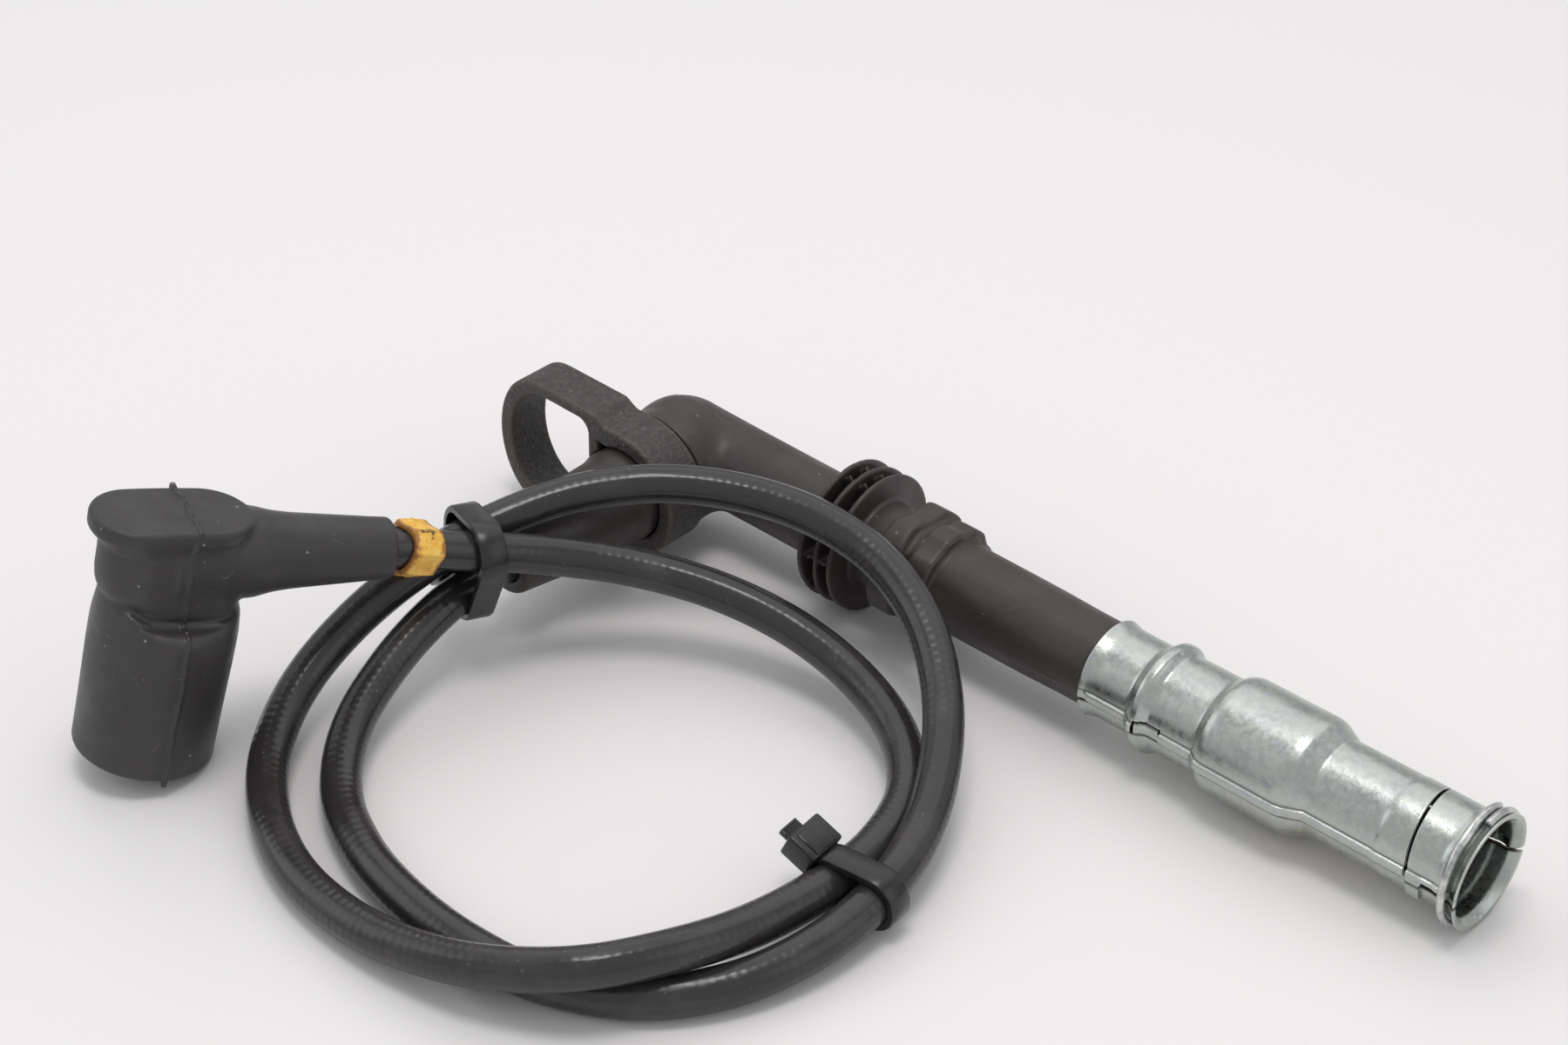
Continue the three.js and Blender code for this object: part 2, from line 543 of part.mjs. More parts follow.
// Rod with a slotted cup that grips the spark plug's terminal.
function plugContact() {
  const cupStart = SOCKET_S + GAP;
  const body = rod([
    [ROD_REAR_S, ROD_R + 0.9], [ROD_REAR_S + 1.5, ROD_R + 0.9], [ROD_REAR_S + 1.5, ROD_R],
    [SOCKET_S - 4, ROD_R], [SOCKET_S - 4, INSULATOR_BORE_R - GAP],
    [cupStart, INSULATOR_BORE_R - GAP], [cupStart, CUP_R], [CUP_END_S - 5.6, CUP_R],
    [CUP_END_S - 5.6, CUP_R - 0.5], [CUP_END_S - 4.4, CUP_R - 0.5], [CUP_END_S - 4.4, CUP_R],
    [CUP_END_S, CUP_R],
  ], 20);
  const bore = rod([[cupStart + 2, CUP_BORE_R], [CUP_END_S + 1, CUP_BORE_R]], 20);
  const slit = 0.5;
  const across = block([cupStart + 4, -CUP_R - 1, -slit], [CUP_END_S + 1, CUP_R + 1, slit]);
  const upright = block([cupStart + 4, -slit, -CUP_R - 1], [CUP_END_S + 1, slit, CUP_R + 1]);
  return body.subtract(bore).subtract(across).subtract(upright);
}

// An open ring of wire in the groove of a contact cup.
function openRing(radius, wire, station, openDeg = 40) {
  const points = [];
  const steps = 24;
  for (let i = 0; i <= steps; i += 1) {
    const angle = THREE.MathUtils.degToRad(openDeg / 2 + (i / steps) * (360 - openDeg));
    points.push(new THREE.Vector3(station, Math.cos(angle) * radius, Math.sin(angle) * radius));
  }
  return bar(new THREE.CatmullRomCurve3(points), wire, 5, 20);
}

function plugContactClip() {
  return openRing(CUP_R - 0.5 + GAP + CLIP_WIRE_R, CLIP_WIRE_R, CUP_END_S - 5);
}

// Compression spring between the resistor and the contact rod.
function contactSpring() {
  const radius = INSULATOR_BORE_R - GAP - SPRING_WIRE_R;
  const start = ROD_REAR_S - SPRING_LENGTH + SPRING_WIRE_R;
  const length = SPRING_LENGTH - GAP * 2 - SPRING_WIRE_R;
  const points = [];
  const steps = SPRING_TURNS * 8;
  for (let i = 0; i <= steps; i += 1) {
    const angle = (i / 8) * Math.PI * 2;
    points.push(new THREE.Vector3(start + GAP + (length - SPRING_WIRE_R) * (i / steps),
      Math.cos(angle) * radius, Math.sin(angle) * radius));
  }
  return bar(new THREE.CatmullRomCurve3(points), SPRING_WIRE_R, 4, steps);
}

// Wirewound suppression resistor with a cap at either end.
function suppressionResistor() {
  const end = ROD_REAR_S - SPRING_LENGTH;
  const start = end - RESISTOR_LENGTH;
  return rod([
    [start, RESISTOR_R - 0.3], [start + 0.3, RESISTOR_R], [start + 4, RESISTOR_R],
    [start + 4, RESISTOR_R - 0.4], [end - 4, RESISTOR_R - 0.4], [end - 4, RESISTOR_R],
    [end - 0.3, RESISTOR_R], [end, RESISTOR_R - 0.3],
  ], 16);
}

// Brass block at the elbow: the ferrule's pin enters it from the side.
function elbowContact() {
  const rear = ELBOW_S - BLOCK_LENGTH / 2 + 1 + GAP;
  const front = ROD_REAR_S - SPRING_LENGTH - RESISTOR_LENGTH - GAP;
  const body = rod([[rear, BLOCK_R - 0.5], [rear + 0.5, BLOCK_R], [INSULATOR_REAR_S - GAP, BLOCK_R],
    [INSULATOR_REAR_S - GAP, ROD_R], [front, ROD_R]], 18);
  const hole = along(rod([[-1, PIN_R + GAP], [BLOCK_R + 2, PIN_R + GAP]], 16),
    new THREE.Vector3(0, -1, 0), new THREE.Vector3(ELBOW_S, 0, 0));
  return body.subtract(hole);
}

// Crimped ferrule on a cable end, closed in front and carrying a contact pin.
function ferrule(pinLength) {
  const outer = CABLE_R + GAP + FERRULE_WALL;
  const shell = rod([[-FERRULE_END - GAP, outer], [FERRULE_LENGTH * 0.35, outer],
    [FERRULE_LENGTH * 0.4, outer - 0.35], [FERRULE_LENGTH * 0.6, outer - 0.35],
    [FERRULE_LENGTH * 0.65, outer], [FERRULE_LENGTH, outer]], 18);
  const room = rod([[-GAP, CABLE_R + GAP], [FERRULE_LENGTH + 1, CABLE_R + GAP]], 18);
  const pin = rod([[-FERRULE_END - GAP - pinLength, PIN_R * 0.6],
    [-FERRULE_END - GAP - pinLength + 0.8, PIN_R], [-FERRULE_END - GAP + LAP, PIN_R]], 10);
  return shell.subtract(room).add(pin);
}

function plugCableFerrule() {
  const pinLength = PLUG_CABLE_END - FERRULE_END - GAP;
  return along(ferrule(pinLength), new THREE.Vector3(0, -1, 0),
    new THREE.Vector3(ELBOW_S, -PLUG_CABLE_END, 0));
}

// Coil boot, built upright in its own axes

// A stadium outline extruded upward: round ends along X.
function stadium(halfLength, halfWidth, low, high, bevel = 0) {
  const shape = new THREE.Shape();
  const flat = halfLength - halfWidth;
  shape.absarc(HEAD_SHIFT + flat, 0, halfWidth - bevel, -Math.PI / 2, Math.PI / 2, false);
  shape.absarc(HEAD_SHIFT - flat, 0, halfWidth - bevel, Math.PI / 2, Math.PI * 1.5, false);
  const geometry = new THREE.ExtrudeGeometry(shape, {
    depth: high - low - bevel * 2, curveSegments: 10,
    bevelEnabled: bevel > 0, bevelThickness: bevel, bevelSize: bevel, bevelSegments: 2,
  });
  geometry.translate(0, 0, low + bevel);
  return solid(geometry);
}

function coilBootOutside(grow) {
  const barrel = along(rod([
    [grow > 0 ? grow : 0, BOOT_FOOT_R + grow], [BOOT_LEDGE_Z - 1, BOOT_TOP_R + grow],
    [BOOT_LEDGE_Z, BOOT_TOP_R - 0.8 + grow], [BOOT_LEDGE_Z + 1, HEAD_HALF_WIDTH],
  ], 32), Z, new THREE.Vector3());
  const head = stadium(HEAD_HALF_LENGTH - CAP_LIP + grow, HEAD_HALF_WIDTH - CAP_LIP / 2 + grow,
    BOOT_LEDGE_Z - 4, HEAD_TOP_Z - 1);
  const cap = stadium(HEAD_HALF_LENGTH + grow, HEAD_HALF_WIDTH + grow,
    HEAD_TOP_Z - CAP_LIP_Z, HEAD_TOP_Z + grow, CAP_ROUND);
  return barrel.add(head).add(cap);
}

function coilBoot() {
  const scoop = (side) => {
    const ball = new THREE.SphereGeometry(1, 16, 10);
    ball.scale(...SCOOP_SIZE);
    ball.translate(0.5, side * (BOOT_TOP_R - 0.2), BOOT_LEDGE_Z + 1.5);
    return solid(ball);
  };
  const headEnd = HEAD_HALF_LENGTH + HEAD_SHIFT;
  const arm = along(rod([
    [0, SIDE_ARM_ROOT_R], [headEnd + 0.8, SIDE_ARM_ROOT_R], [headEnd + 4, SIDE_ARM_ROOT_R - 0.9],
    [headEnd + 7.5, SIDE_ARM_R], [SIDE_ARM_LENGTH - 2.2, SIDE_ARM_END_R],
    [SIDE_ARM_LENGTH - 0.7, SIDE_ARM_END_R - 0.3], [SIDE_ARM_LENGTH, SIDE_ARM_END_R - 0.9],
  ], 24), X, new THREE.Vector3(0, 0, SIDE_ARM_Z));
  const ridge = coilBootOutside(MOULD_RIDGE).intersect(
    block([0.2, -FAR, 0.6], [0.2 + MOULD_RIDGE, FAR, HEAD_TOP_Z + 2]));
  const body = coilBootOutside(0).subtract(scoop(1)).subtract(scoop(-1)).add(ridge).add(arm);
  const socket = along(rod([[-1, BOOT_SOCKET_R + 0.6], [1.2, BOOT_SOCKET_R],
    [BOOT_SOCKET_Z, BOOT_SOCKET_R], [BOOT_SOCKET_Z + 1, COIL_CUP_R + GAP],
    [SIDE_ARM_Z, COIL_CUP_R + GAP]], 24), Z, new THREE.Vector3());
  const passage = along(rod([[-6, SIDE_CHAMBER_R], [SIDE_CHAMBER_END + 1, SIDE_CHAMBER_R],
    [SIDE_CHAMBER_END + 1, CABLE_R + GAP], [SIDE_ARM_LENGTH + 1, CABLE_R + GAP]], 18),
  X, new THREE.Vector3(0, 0, SIDE_ARM_Z));
  return body.subtract(socket).subtract(passage);
}

// Brass angle terminal: ferrule on the cable, neck, and a slotted cup for the coil's tower.
function coilTerminal() {
  const sleeve = along(ferrule(COIL_CABLE_END - FERRULE_END - 2), X,
    new THREE.Vector3(COIL_CABLE_END, 0, SIDE_ARM_Z));
  const cup = along(rod([
    [COIL_CUP_Z, COIL_CUP_R], [COIL_CUP_Z + 4.4, COIL_CUP_R],
    [COIL_CUP_Z + 4.4, COIL_CUP_R - 0.4], [COIL_CUP_Z + 5.6, COIL_CUP_R - 0.4],
    [COIL_CUP_Z + 5.6, COIL_CUP_R], [SIDE_ARM_Z + PIN_R + 0.8, COIL_CUP_R],
  ], 20), Z, new THREE.Vector3());
  const bore = along(rod([[COIL_CUP_Z - 1, COIL_CUP_BORE_R], [COIL_CUP_Z + 14, COIL_CUP_BORE_R]], 20),
    Z, new THREE.Vector3());
  const slit = block([-COIL_CUP_R - 1, -0.5, COIL_CUP_Z - 1], [COIL_CUP_R + 1, 0.5, COIL_CUP_Z + 10]);
  return cup.add(sleeve).subtract(bore).subtract(slit);
}

function coilContactClip() {
  const ring = openRing(COIL_CUP_R - 0.4 + GAP + CLIP_WIRE_R, CLIP_WIRE_R, 0);
  ring.applyMatrix4(new THREE.Matrix4().makeRotationY(-Math.PI / 2));
  ring.translate(0, 0, COIL_CUP_Z + 5);
  return ring;
}

// Cable with its marker and ties

// How the plug connector lies: on the front fin and on the wire ring.
const RING_OUTER_R = GROOVE_R + GAP + WIRE_R * 2;
const RING_LOW_S = WIRE_START_S - WIRE_SHIFT * ((270 - WIRE_START_DEG) / 360);
const TILT = Math.atan2(FIN_R - RING_OUTER_R, RING_LOW_S - FRONT_FIN_S);
const AXIS_Z = FIN_R * Math.cos(TILT) + FRONT_FIN_S * Math.sin(TILT);

const plugConnector = new THREE.Group();
plugConnector.rotation.y = TILT;
plugConnector.position.z = AXIS_Z;
plugConnector.updateMatrixWorld(true);

const coilEnd = new THREE.Group();
const bootSide = new THREE.Vector3().crossVectors(BOOT_UP, BOOT_ARM_WAY).normalize();
const bootWay = new THREE.Vector3().crossVectors(bootSide, BOOT_UP).normalize();
coilEnd.quaternion.setFromRotationMatrix(
  new THREE.Matrix4().makeBasis(bootWay, bootSide, BOOT_UP.clone().normalize()));
coilEnd.position.copy(BOOT_PLACE);
coilEnd.updateMatrixWorld(true);

function cableCurve() {
  const coil = (distance) => coilEnd.localToWorld(new THREE.Vector3(distance, 0, SIDE_ARM_Z));
  const plug = (distance) => plugConnector.localToWorld(
    new THREE.Vector3(ELBOW_S, -distance, 0));
  return new THREE.CatmullRomCurve3([
    coil(COIL_CABLE_END), coil(SIDE_ARM_LENGTH - 12), coil(SIDE_ARM_LENGTH - 1),
    ...CABLE_ROUTE.map((point) => new THREE.Vector3(...point)),
    plug(ARM_LENGTH - 1), plug(ARM_LENGTH - 12), plug(PLUG_CABLE_END),
  ], false, 'centripetal');
}

// Point and direction on the faceted cable, at a share of its length.
function onCable(corners, at) {
  const index = Math.min(Math.floor(at * CABLE_STEPS), CABLE_STEPS - 1);
  const share = at * CABLE_STEPS - index;
  return {
    point: corners[index].clone().lerp(corners[index + 1], share),
    way: corners[index + 1].clone().sub(corners[index]).normalize(),
  };
}

// The nearest pass of the cable to a place, within a range of its length.
function nearestPass(corners, place, from, to) {
  let best = onCable(corners, from);
  const steps = 400;
  for (let i = 1; i <= steps; i += 1) {
    const pass = onCable(corners, from + ((to - from) * i) / steps);
    if (pass.point.distanceTo(place) < best.point.distanceTo(place)) best = pass;
  }
  return best;
}

// Convex belt round circles of one radius, counter-clockwise.
function belt(centres, radius) {
  const points = [];
  const sides = 20;
  centres.forEach(([x, y]) => {
    for (let i = 0; i < sides; i += 1) {
      const angle = (i / sides) * Math.PI * 2;
      points.push([x + Math.cos(angle) * radius, y + Math.sin(angle) * radius]);
    }
  });
  points.sort((a, b) => a[0] - b[0] || a[1] - b[1]);
  const turnOf = (a, b, c) => (b[0] - a[0]) * (c[1] - a[1]) - (b[1] - a[1]) * (c[0] - a[0]);
  const chain = (list) => list.reduce((kept, point) => {
    while (kept.length > 1 && turnOf(kept[kept.length - 2], kept[kept.length - 1], point) <= 0) {
      kept.pop();
    }
    kept.push(point);
    return kept;
  }, []);
  const low = chain(points);
  const high = chain(points.slice().reverse());
  return [...low.slice(0, -1), ...high.slice(0, -1)].map(([x, y]) => new THREE.Vector2(x, y));
}

// A cable tie: band round the strands, square head with the tail cut short.
function cableTie(passes, way, headDeg) {
  const centre = new THREE.Vector3();
  passes.forEach(({ point }) => centre.addScaledVector(point, 1 / passes.length));
  const normal = way.clone().normalize();
  const right = new THREE.Vector3().crossVectors(Z, normal).normalize();
  const up = new THREE.Vector3().crossVectors(normal, right);
  // Each strand is met where it enters and leaves the band, since it crosses a little aslant.
  const spots = passes.flatMap(({ point, way: course }) => [-0.5, 0.5].map((side) => {
    const lag = (centre.clone().sub(point).dot(normal) + side * TIE_WIDTH) / course.dot(normal);
    const spot = point.clone().addScaledVector(course, lag).sub(centre);
    return [spot.dot(right), spot.dot(up)];
  }));
  const slant = Math.min(...passes.map(({ way: course }) => Math.abs(course.dot(normal))));
  const inner = CABLE_R / slant + GAP;
  const band = new THREE.Shape(belt(spots, inner + TIE_THICKNESS));
  band.holes.push(new THREE.Path(belt(spots, inner)));
  const hoop = new THREE.ExtrudeGeometry(band, { depth: TIE_WIDTH, bevelEnabled: false });
  hoop.translate(0, 0, -TIE_WIDTH / 2);
  const room = new THREE.ExtrudeGeometry(new THREE.Shape(belt(spots, inner + GAP)),
    { depth: TIE_WIDTH * 4, bevelEnabled: false });
  room.translate(0, 0, -TIE_WIDTH * 2);
  const angle = THREE.MathUtils.degToRad(headDeg);
  const reach = Math.max(...spots.map(([x, y]) => x * Math.cos(angle) + y * Math.sin(angle)));
  const [tall, wide, deep] = TIE_HEAD;
  const head = new THREE.BoxGeometry(deep, tall, wide);
  const headEnd = reach + inner + deep - TIE_THICKNESS / 2;
  head.translate(headEnd - deep / 2, 0, 0);
  const tail = new THREE.BoxGeometry(TIE_TAIL + LAP, TIE_THICKNESS, TIE_WIDTH * 0.8);
  tail.translate(headEnd + (TIE_TAIL - LAP) / 2, -TIE_TAIL_SHIFT, 0);
  const turn = new THREE.Matrix4().makeRotationZ(angle);
  const body = solid(hoop)
    .add(placed(solid(head), turn).subtract(solid(room)))
    .add(placed(solid(tail), turn));
  const frame = new THREE.Matrix4().makeBasis(right, up, normal).setPosition(centre);
  return placed(body, frame);
}

// Folded plastic strip round the cable, with flats where it was pinched.
function markerBand(corners, length) {
  const distance = SIDE_ARM_LENGTH - COIL_CABLE_END + MARKER_OFFSET;
  const { point, way } = onCable(corners, distance / length);
  const inner = CABLE_R + GAP;
  const shape = new THREE.Shape();
  const sides = 7;
  for (let i = 0; i < sides; i += 1) {
    const angle = (i / sides) * Math.PI * 2 + MARKER_TURN;
    const radius = (inner + MARKER_WALL) / Math.cos(Math.PI / sides);
    const spot = [Math.cos(angle) * radius, Math.sin(angle) * radius];
    if (i === 0) shape.moveTo(...spot);
    else shape.lineTo(...spot);
  }
  shape.closePath();
  const hole = new THREE.Path();
  hole.absarc(0, 0, inner, 0, Math.PI * 2, true);
  shape.holes.push(hole);
  const geometry = new THREE.ExtrudeGeometry(shape, {
    depth: MARKER_WIDTH, bevelEnabled: false, curveSegments: 14,
  });
  geometry.translate(0, 0, -MARKER_WIDTH / 2);
  const turn = new THREE.Quaternion().setFromUnitVectors(Z, way);
  geometry.applyMatrix4(new THREE.Matrix4().compose(point, turn, new THREE.Vector3(1, 1, 1)));
  return solid(geometry);
}

// Assembly

plugConnector.add(
  piece('plug_boot', plugBoot(), MATERIALS.rubber),
  piece('pull_ring', pullRing(), MATERIALS.pull),
  piece('shield_upper', shieldUpper(), MATERIALS.zinc),
  piece('shield_lower', shieldLower(), MATERIALS.zinc),
  piece('shield_snap_ring', snapRing(), MATERIALS.wire),
  piece('insulator_body', insulatorBody(), MATERIALS.plastic),
  piece('plug_seal', plugSeal(), MATERIALS.rubber),
  piece('plug_contact', plugContact(), MATERIALS.brass),
  piece('plug_contact_clip', plugContactClip(), MATERIALS.wire),
  piece('contact_spring', contactSpring(), MATERIALS.wire),
  piece('suppression_resistor', suppressionResistor(), MATERIALS.ceramic),
  piece('elbow_contact', elbowContact(), MATERIALS.brass),
  piece('plug_cable_ferrule', plugCableFerrule(), MATERIALS.brass),
);
coilEnd.add(
  piece('coil_boot', coilBoot(), MATERIALS.rubber),
  piece('coil_terminal', coilTerminal(), MATERIALS.brass),
  piece('coil_contact_clip', coilContactClip(), MATERIALS.wire),
);

const curve = cableCurve();
const cableLength = curve.getLength();
const corners = curve.getSpacedPoints(CABLE_STEPS);
const cableSolid = solid(bar(curve, CABLE_R, CABLE_SIDES, CABLE_STEPS));
const coilTiePlace = new THREE.Vector3(-94.0, -57.5, 20.5);
const coilTiePasses = [
  nearestPass(corners, coilTiePlace, 0.03, 0.15),
  nearestPass(corners, coilTiePlace, 0.4, 0.6),
  nearestPass(corners, coilTiePlace, 0.9, 0.98),
];
const frontTiePlace = new THREE.Vector3(1.0, -65, 5.8);
const frontTiePasses = [
  nearestPass(corners, frontTiePlace, 0.1, 0.4),
  nearestPass(corners, frontTiePlace, 0.6, 0.8),
];
const cordGroup = new THREE.Group();
cordGroup.add(
  piece('cable', cableSolid, MATERIALS.jacket),
  piece('marker_band', markerBand(corners, cableLength), MATERIALS.marker),
  piece('cable_tie_rear', cableTie(coilTiePasses, new THREE.Vector3(0.35, 0.93, -0.1), REAR_HEAD_DEG),
    MATERIALS.nylon),
  piece('cable_tie_front', cableTie(frontTiePasses, new THREE.Vector3(-0.1, 0.99, 0), FRONT_HEAD_DEG),
    MATERIALS.nylon),
);

// The origin is under the middle of the two connectors, on the table.
const rigidBox = new THREE.Box3().setFromObject(plugConnector, true);
rigidBox.union(new THREE.Box3().setFromObject(coilEnd, true));
const middle = rigidBox.getCenter(new THREE.Vector3());
const sparkPlugWire = new THREE.Group();
sparkPlugWire.add(plugConnector, coilEnd, cordGroup);
sparkPlugWire.position.set(-middle.x, -middle.y, -rigidBox.min.z);

export default sparkPlugWire;
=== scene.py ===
import math

import bpy
import numpy as np
from mathutils import Matrix, Vector


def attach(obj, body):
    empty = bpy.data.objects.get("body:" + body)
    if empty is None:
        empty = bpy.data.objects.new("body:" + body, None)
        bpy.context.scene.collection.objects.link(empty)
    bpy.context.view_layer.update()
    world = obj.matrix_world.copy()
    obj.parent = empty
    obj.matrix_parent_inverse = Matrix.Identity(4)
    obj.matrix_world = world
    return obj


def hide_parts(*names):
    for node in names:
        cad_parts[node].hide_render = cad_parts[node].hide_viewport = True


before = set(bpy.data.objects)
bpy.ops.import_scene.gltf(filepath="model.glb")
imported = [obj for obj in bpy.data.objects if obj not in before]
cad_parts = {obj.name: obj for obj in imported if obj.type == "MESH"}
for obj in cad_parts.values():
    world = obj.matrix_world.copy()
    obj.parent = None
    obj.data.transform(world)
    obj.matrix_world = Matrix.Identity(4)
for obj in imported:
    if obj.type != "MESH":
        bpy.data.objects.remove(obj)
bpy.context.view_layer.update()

MM = 0.001
root = bpy.context.scene.collection


# --- Camera, table and light ---
# A small product shot: the lead lies on a pale, faintly glossy table that runs up
# into a pale backdrop, under large soft lights from above and from both sides.

EYE = np.array([270.44, -287.99, 331.0])
LOOK = np.array([-0.5583, 0.6050, -0.5678])
RIGHT = np.array([0.735, 0.678, 0.0])
LENS = 72.0


def camera():
    look = LOOK / np.linalg.norm(LOOK)
    right = RIGHT / np.linalg.norm(RIGHT)
    up = np.cross(right, look)
    data = bpy.data.cameras.new("camera")
    data.lens = LENS
    data.sensor_width = 36.0
    data.clip_start = 0.01
    obj = bpy.data.objects.new("camera", data)
    turn = np.eye(4)
    turn[:3, 0], turn[:3, 1], turn[:3, 2], turn[:3, 3] = right, up, -look, EYE * MM
    obj.matrix_world = Matrix(turn.tolist())
    root.objects.link(obj)
    bpy.context.scene.camera = obj


camera()

world = bpy.data.worlds.new("studio")
world.use_nodes = True
world.node_tree.nodes["Background"].inputs["Color"].default_value = (0.93, 0.935, 0.95, 1)
world.node_tree.nodes["Background"].inputs["Strength"].default_value = 0.66
bpy.context.scene.world = world
bpy.context.scene.view_settings.view_transform = "Standard"


def material(name, **sockets):
    """A material with its Principled shader's plain values set, and its nodes and links."""
    m = bpy.data.materials.new(name)
    m.use_nodes = True
    shader = m.node_tree.nodes["Principled BSDF"]
    for key, value in sockets.items():
        shader.inputs[key.replace("_", " ")].default_value = value
    return m, m.node_tree, shader


FLOOR_END = 0.75  # metres behind the middle, where the floor starts to curve
BACKDROP_R = 0.9


def table():
    """A flat floor that curves up behind in a quarter circle.

    Distance along is the radius times the sine of the bend, and height is the radius
    times one less its cosine.
    """
    u = np.linspace(-1.3, 1.3, 3)
    t = np.concatenate([np.linspace(-1.6, 0, 4), np.linspace(0.05, 1, 16)])
    bend = np.clip(t, 0, 1) * math.pi / 2
    run = np.where(t < 0, t * 1.2, BACKDROP_R * np.sin(bend)) + FLOOR_END
    rise = BACKDROP_R * (1 - np.cos(bend))
    away = np.array([LOOK[0], LOOK[1]]) / math.hypot(LOOK[0], LOOK[1])
    side = np.array([-away[1], away[0]])
    gu, gr = np.meshgrid(u, run, indexing="ij")
    gh = np.broadcast_to(rise, gu.shape)
    pts = np.stack([gr * away[0] + gu * side[0], gr * away[1] + gu * side[1], gh], -1)
    k = np.arange(gu.size).reshape(gu.shape)
    faces = np.stack([k[:-1, :-1], k[:-1, 1:], k[1:, 1:], k[1:, :-1]], -1).reshape(-1, 4).tolist()
    mesh = bpy.data.meshes.new("table")
    mesh.from_pydata(pts.reshape(-1, 3).tolist(), [], faces)
    mesh.polygons.foreach_set("use_smooth", [True] * len(faces))
    obj = bpy.data.objects.new("table", mesh)
    root.objects.link(obj)
    m, tree, shader = material("table_card", Roughness=0.42, Base_Color=(0.805, 0.792, 0.785, 1))
    shader.inputs["Specular IOR Level"].default_value = 0.35
    mesh.materials.append(m)


table()


def soft_light(name, where, aim_height, sides, power, colour):
    """A rectangular lamp, placed and sized in metres, aimed at a height over the middle."""
    data = bpy.data.lights.new(name, "AREA")
    data.shape = "RECTANGLE"
    data.size, data.size_y = sides
    data.energy = power
    data.color = colour
    obj = bpy.data.objects.new(name, data)
    obj.location = where
    aim = Vector((0, 0, aim_height)) - Vector(where)
    obj.rotation_euler = aim.to_track_quat("-Z", "Y").to_euler()
    root.objects.link(obj)


WARM, COOL = (1, 0.99, 0.98), (0.97, 0.98, 1)
soft_light("key_box", (0.02, -0.04, 0.95), 0, (0.34, 0.26), 2.5, WARM)
soft_light("back_box", (-0.25, 0.40, 0.72), 0, (1.2, 0.8), 1.9, WARM)
soft_light("left_box", (-0.75, -0.45, 0.5), 0.02, (0.6, 0.6), 1.0, COOL)
soft_light("right_box", (0.8, 0.25, 0.45), 0.02, (0.6, 0.6), 0.6, WARM)


# --- Cable ---
# A 7 mm high-voltage cable with a smooth extruded jacket over a braid that shows
# through as a faint pattern. It was coiled for packing and keeps soft flats and scuffs.

SHIFT = np.array([26.2891, 57.2116, 0.0050])  # from the connector's own origin to the row's
FIN_REST_S, FIN_REST_R = -52.0, 13.2  # the connector rests on its front fin
WIRE_S, WIRE_PITCH, WIRE_LOOP_R, WIRE_R = 73.2, 1.65, 10.0, 0.7  # and on its snap ring
WIRE_LOW_DEG = 187  # turn from the wire's start to its lowest point
wire_rest_s = WIRE_S - WIRE_PITCH * WIRE_LOW_DEG / 360
TILT = math.atan2(FIN_REST_R - WIRE_LOOP_R - WIRE_R, wire_rest_s - FIN_REST_S)
AXIS_Z = FIN_REST_R * math.cos(TILT) + FIN_REST_S * math.sin(TILT)
COIL_FOOT = np.array([-113.2, -116.07, 3.12])
COIL_UP = np.array([0.11007, 0.23934, 0.96468])
COIL_ARM = np.array([0.35955, 0.89526, -0.26314])
ELBOW_S = -95.0  # station of the elbow's arm along the connector
SIDE_ARM_Z = 37.3  # height of the coil boot's arm
CABLE_R = 3.5

CABLE_ROUTE = np.array([
    [-90.5, -61.6, 24.8], [-83.3, -49.3, 21.0], [-73.6, -38.8, 17.7], [-61.5, -31.1, 14.6],
    [-47.8, -27.0, 11.5], [-33.4, -27.0, 8.5], [-19.8, -31.5, 6.3], [-9.1, -41.3, 5.4],
    [-3.8, -54.9, 5.5], [-2.7, -69.5, 6.2], [-3.7, -83.9, 7.6], [-6.3, -98.1, 10.4],
    [-13.4, -110.8, 11.0], [-25.7, -118.3, 8.6], [-39.7, -121.8, 5.9], [-54.3, -122.5, 4.2],
    [-68.8, -120.3, 3.6], [-82.1, -114.3, 3.7], [-93.2, -104.8, 5.1], [-100.0, -92.4, 8.6],
    [-101.3, -78.9, 14.1], [-98.8, -65.6, 19.7], [-94.5, -52.1, 23.8], [-88.6, -38.9, 25.9],
    [-79.9, -27.1, 26.4], [-68.0, -18.6, 25.9], [-54.0, -14.1, 24.8], [-39.6, -13.8, 22.5],
    [-26.1, -18.0, 18.6], [-14.8, -26.1, 14.0], [-5.8, -37.0, 10.2], [1.1, -49.8, 7.7],
    [4.7, -63.9, 6.0], [4.7, -78.5, 4.8], [0.4, -92.5, 3.9], [-8.5, -104.1, 3.6],
    [-21.2, -111.3, 3.7], [-35.7, -113.8, 3.9], [-50.3, -113.0, 3.8], [-64.6, -109.6, 3.7],
    [-77.7, -102.9, 4.0], [-87.3, -92.1, 6.2], [-92.1, -78.8, 9.9], [-93.9, -64.7, 13.5],
])


def plug_place(p):
    """Connector coordinates (along, back, up) turned by its small tilt and set on the table."""
    c, s = math.cos(TILT), math.sin(TILT)
    x, y, z = p[..., 0], p[..., 1], p[..., 2]
    return np.stack([x * c + z * s, y, AXIS_Z - x * s + z * c], -1) + SHIFT


def coil_place(p):
    """Boot coordinates (along the arm, across, up the barrel) turned by the boot's lean."""
    up = COIL_UP / np.linalg.norm(COIL_UP)
    side = np.cross(up, COIL_ARM)
    side /= np.linalg.norm(side)
    arm = np.cross(side, up)
    return p @ np.stack([arm, side, up]) + COIL_FOOT + SHIFT


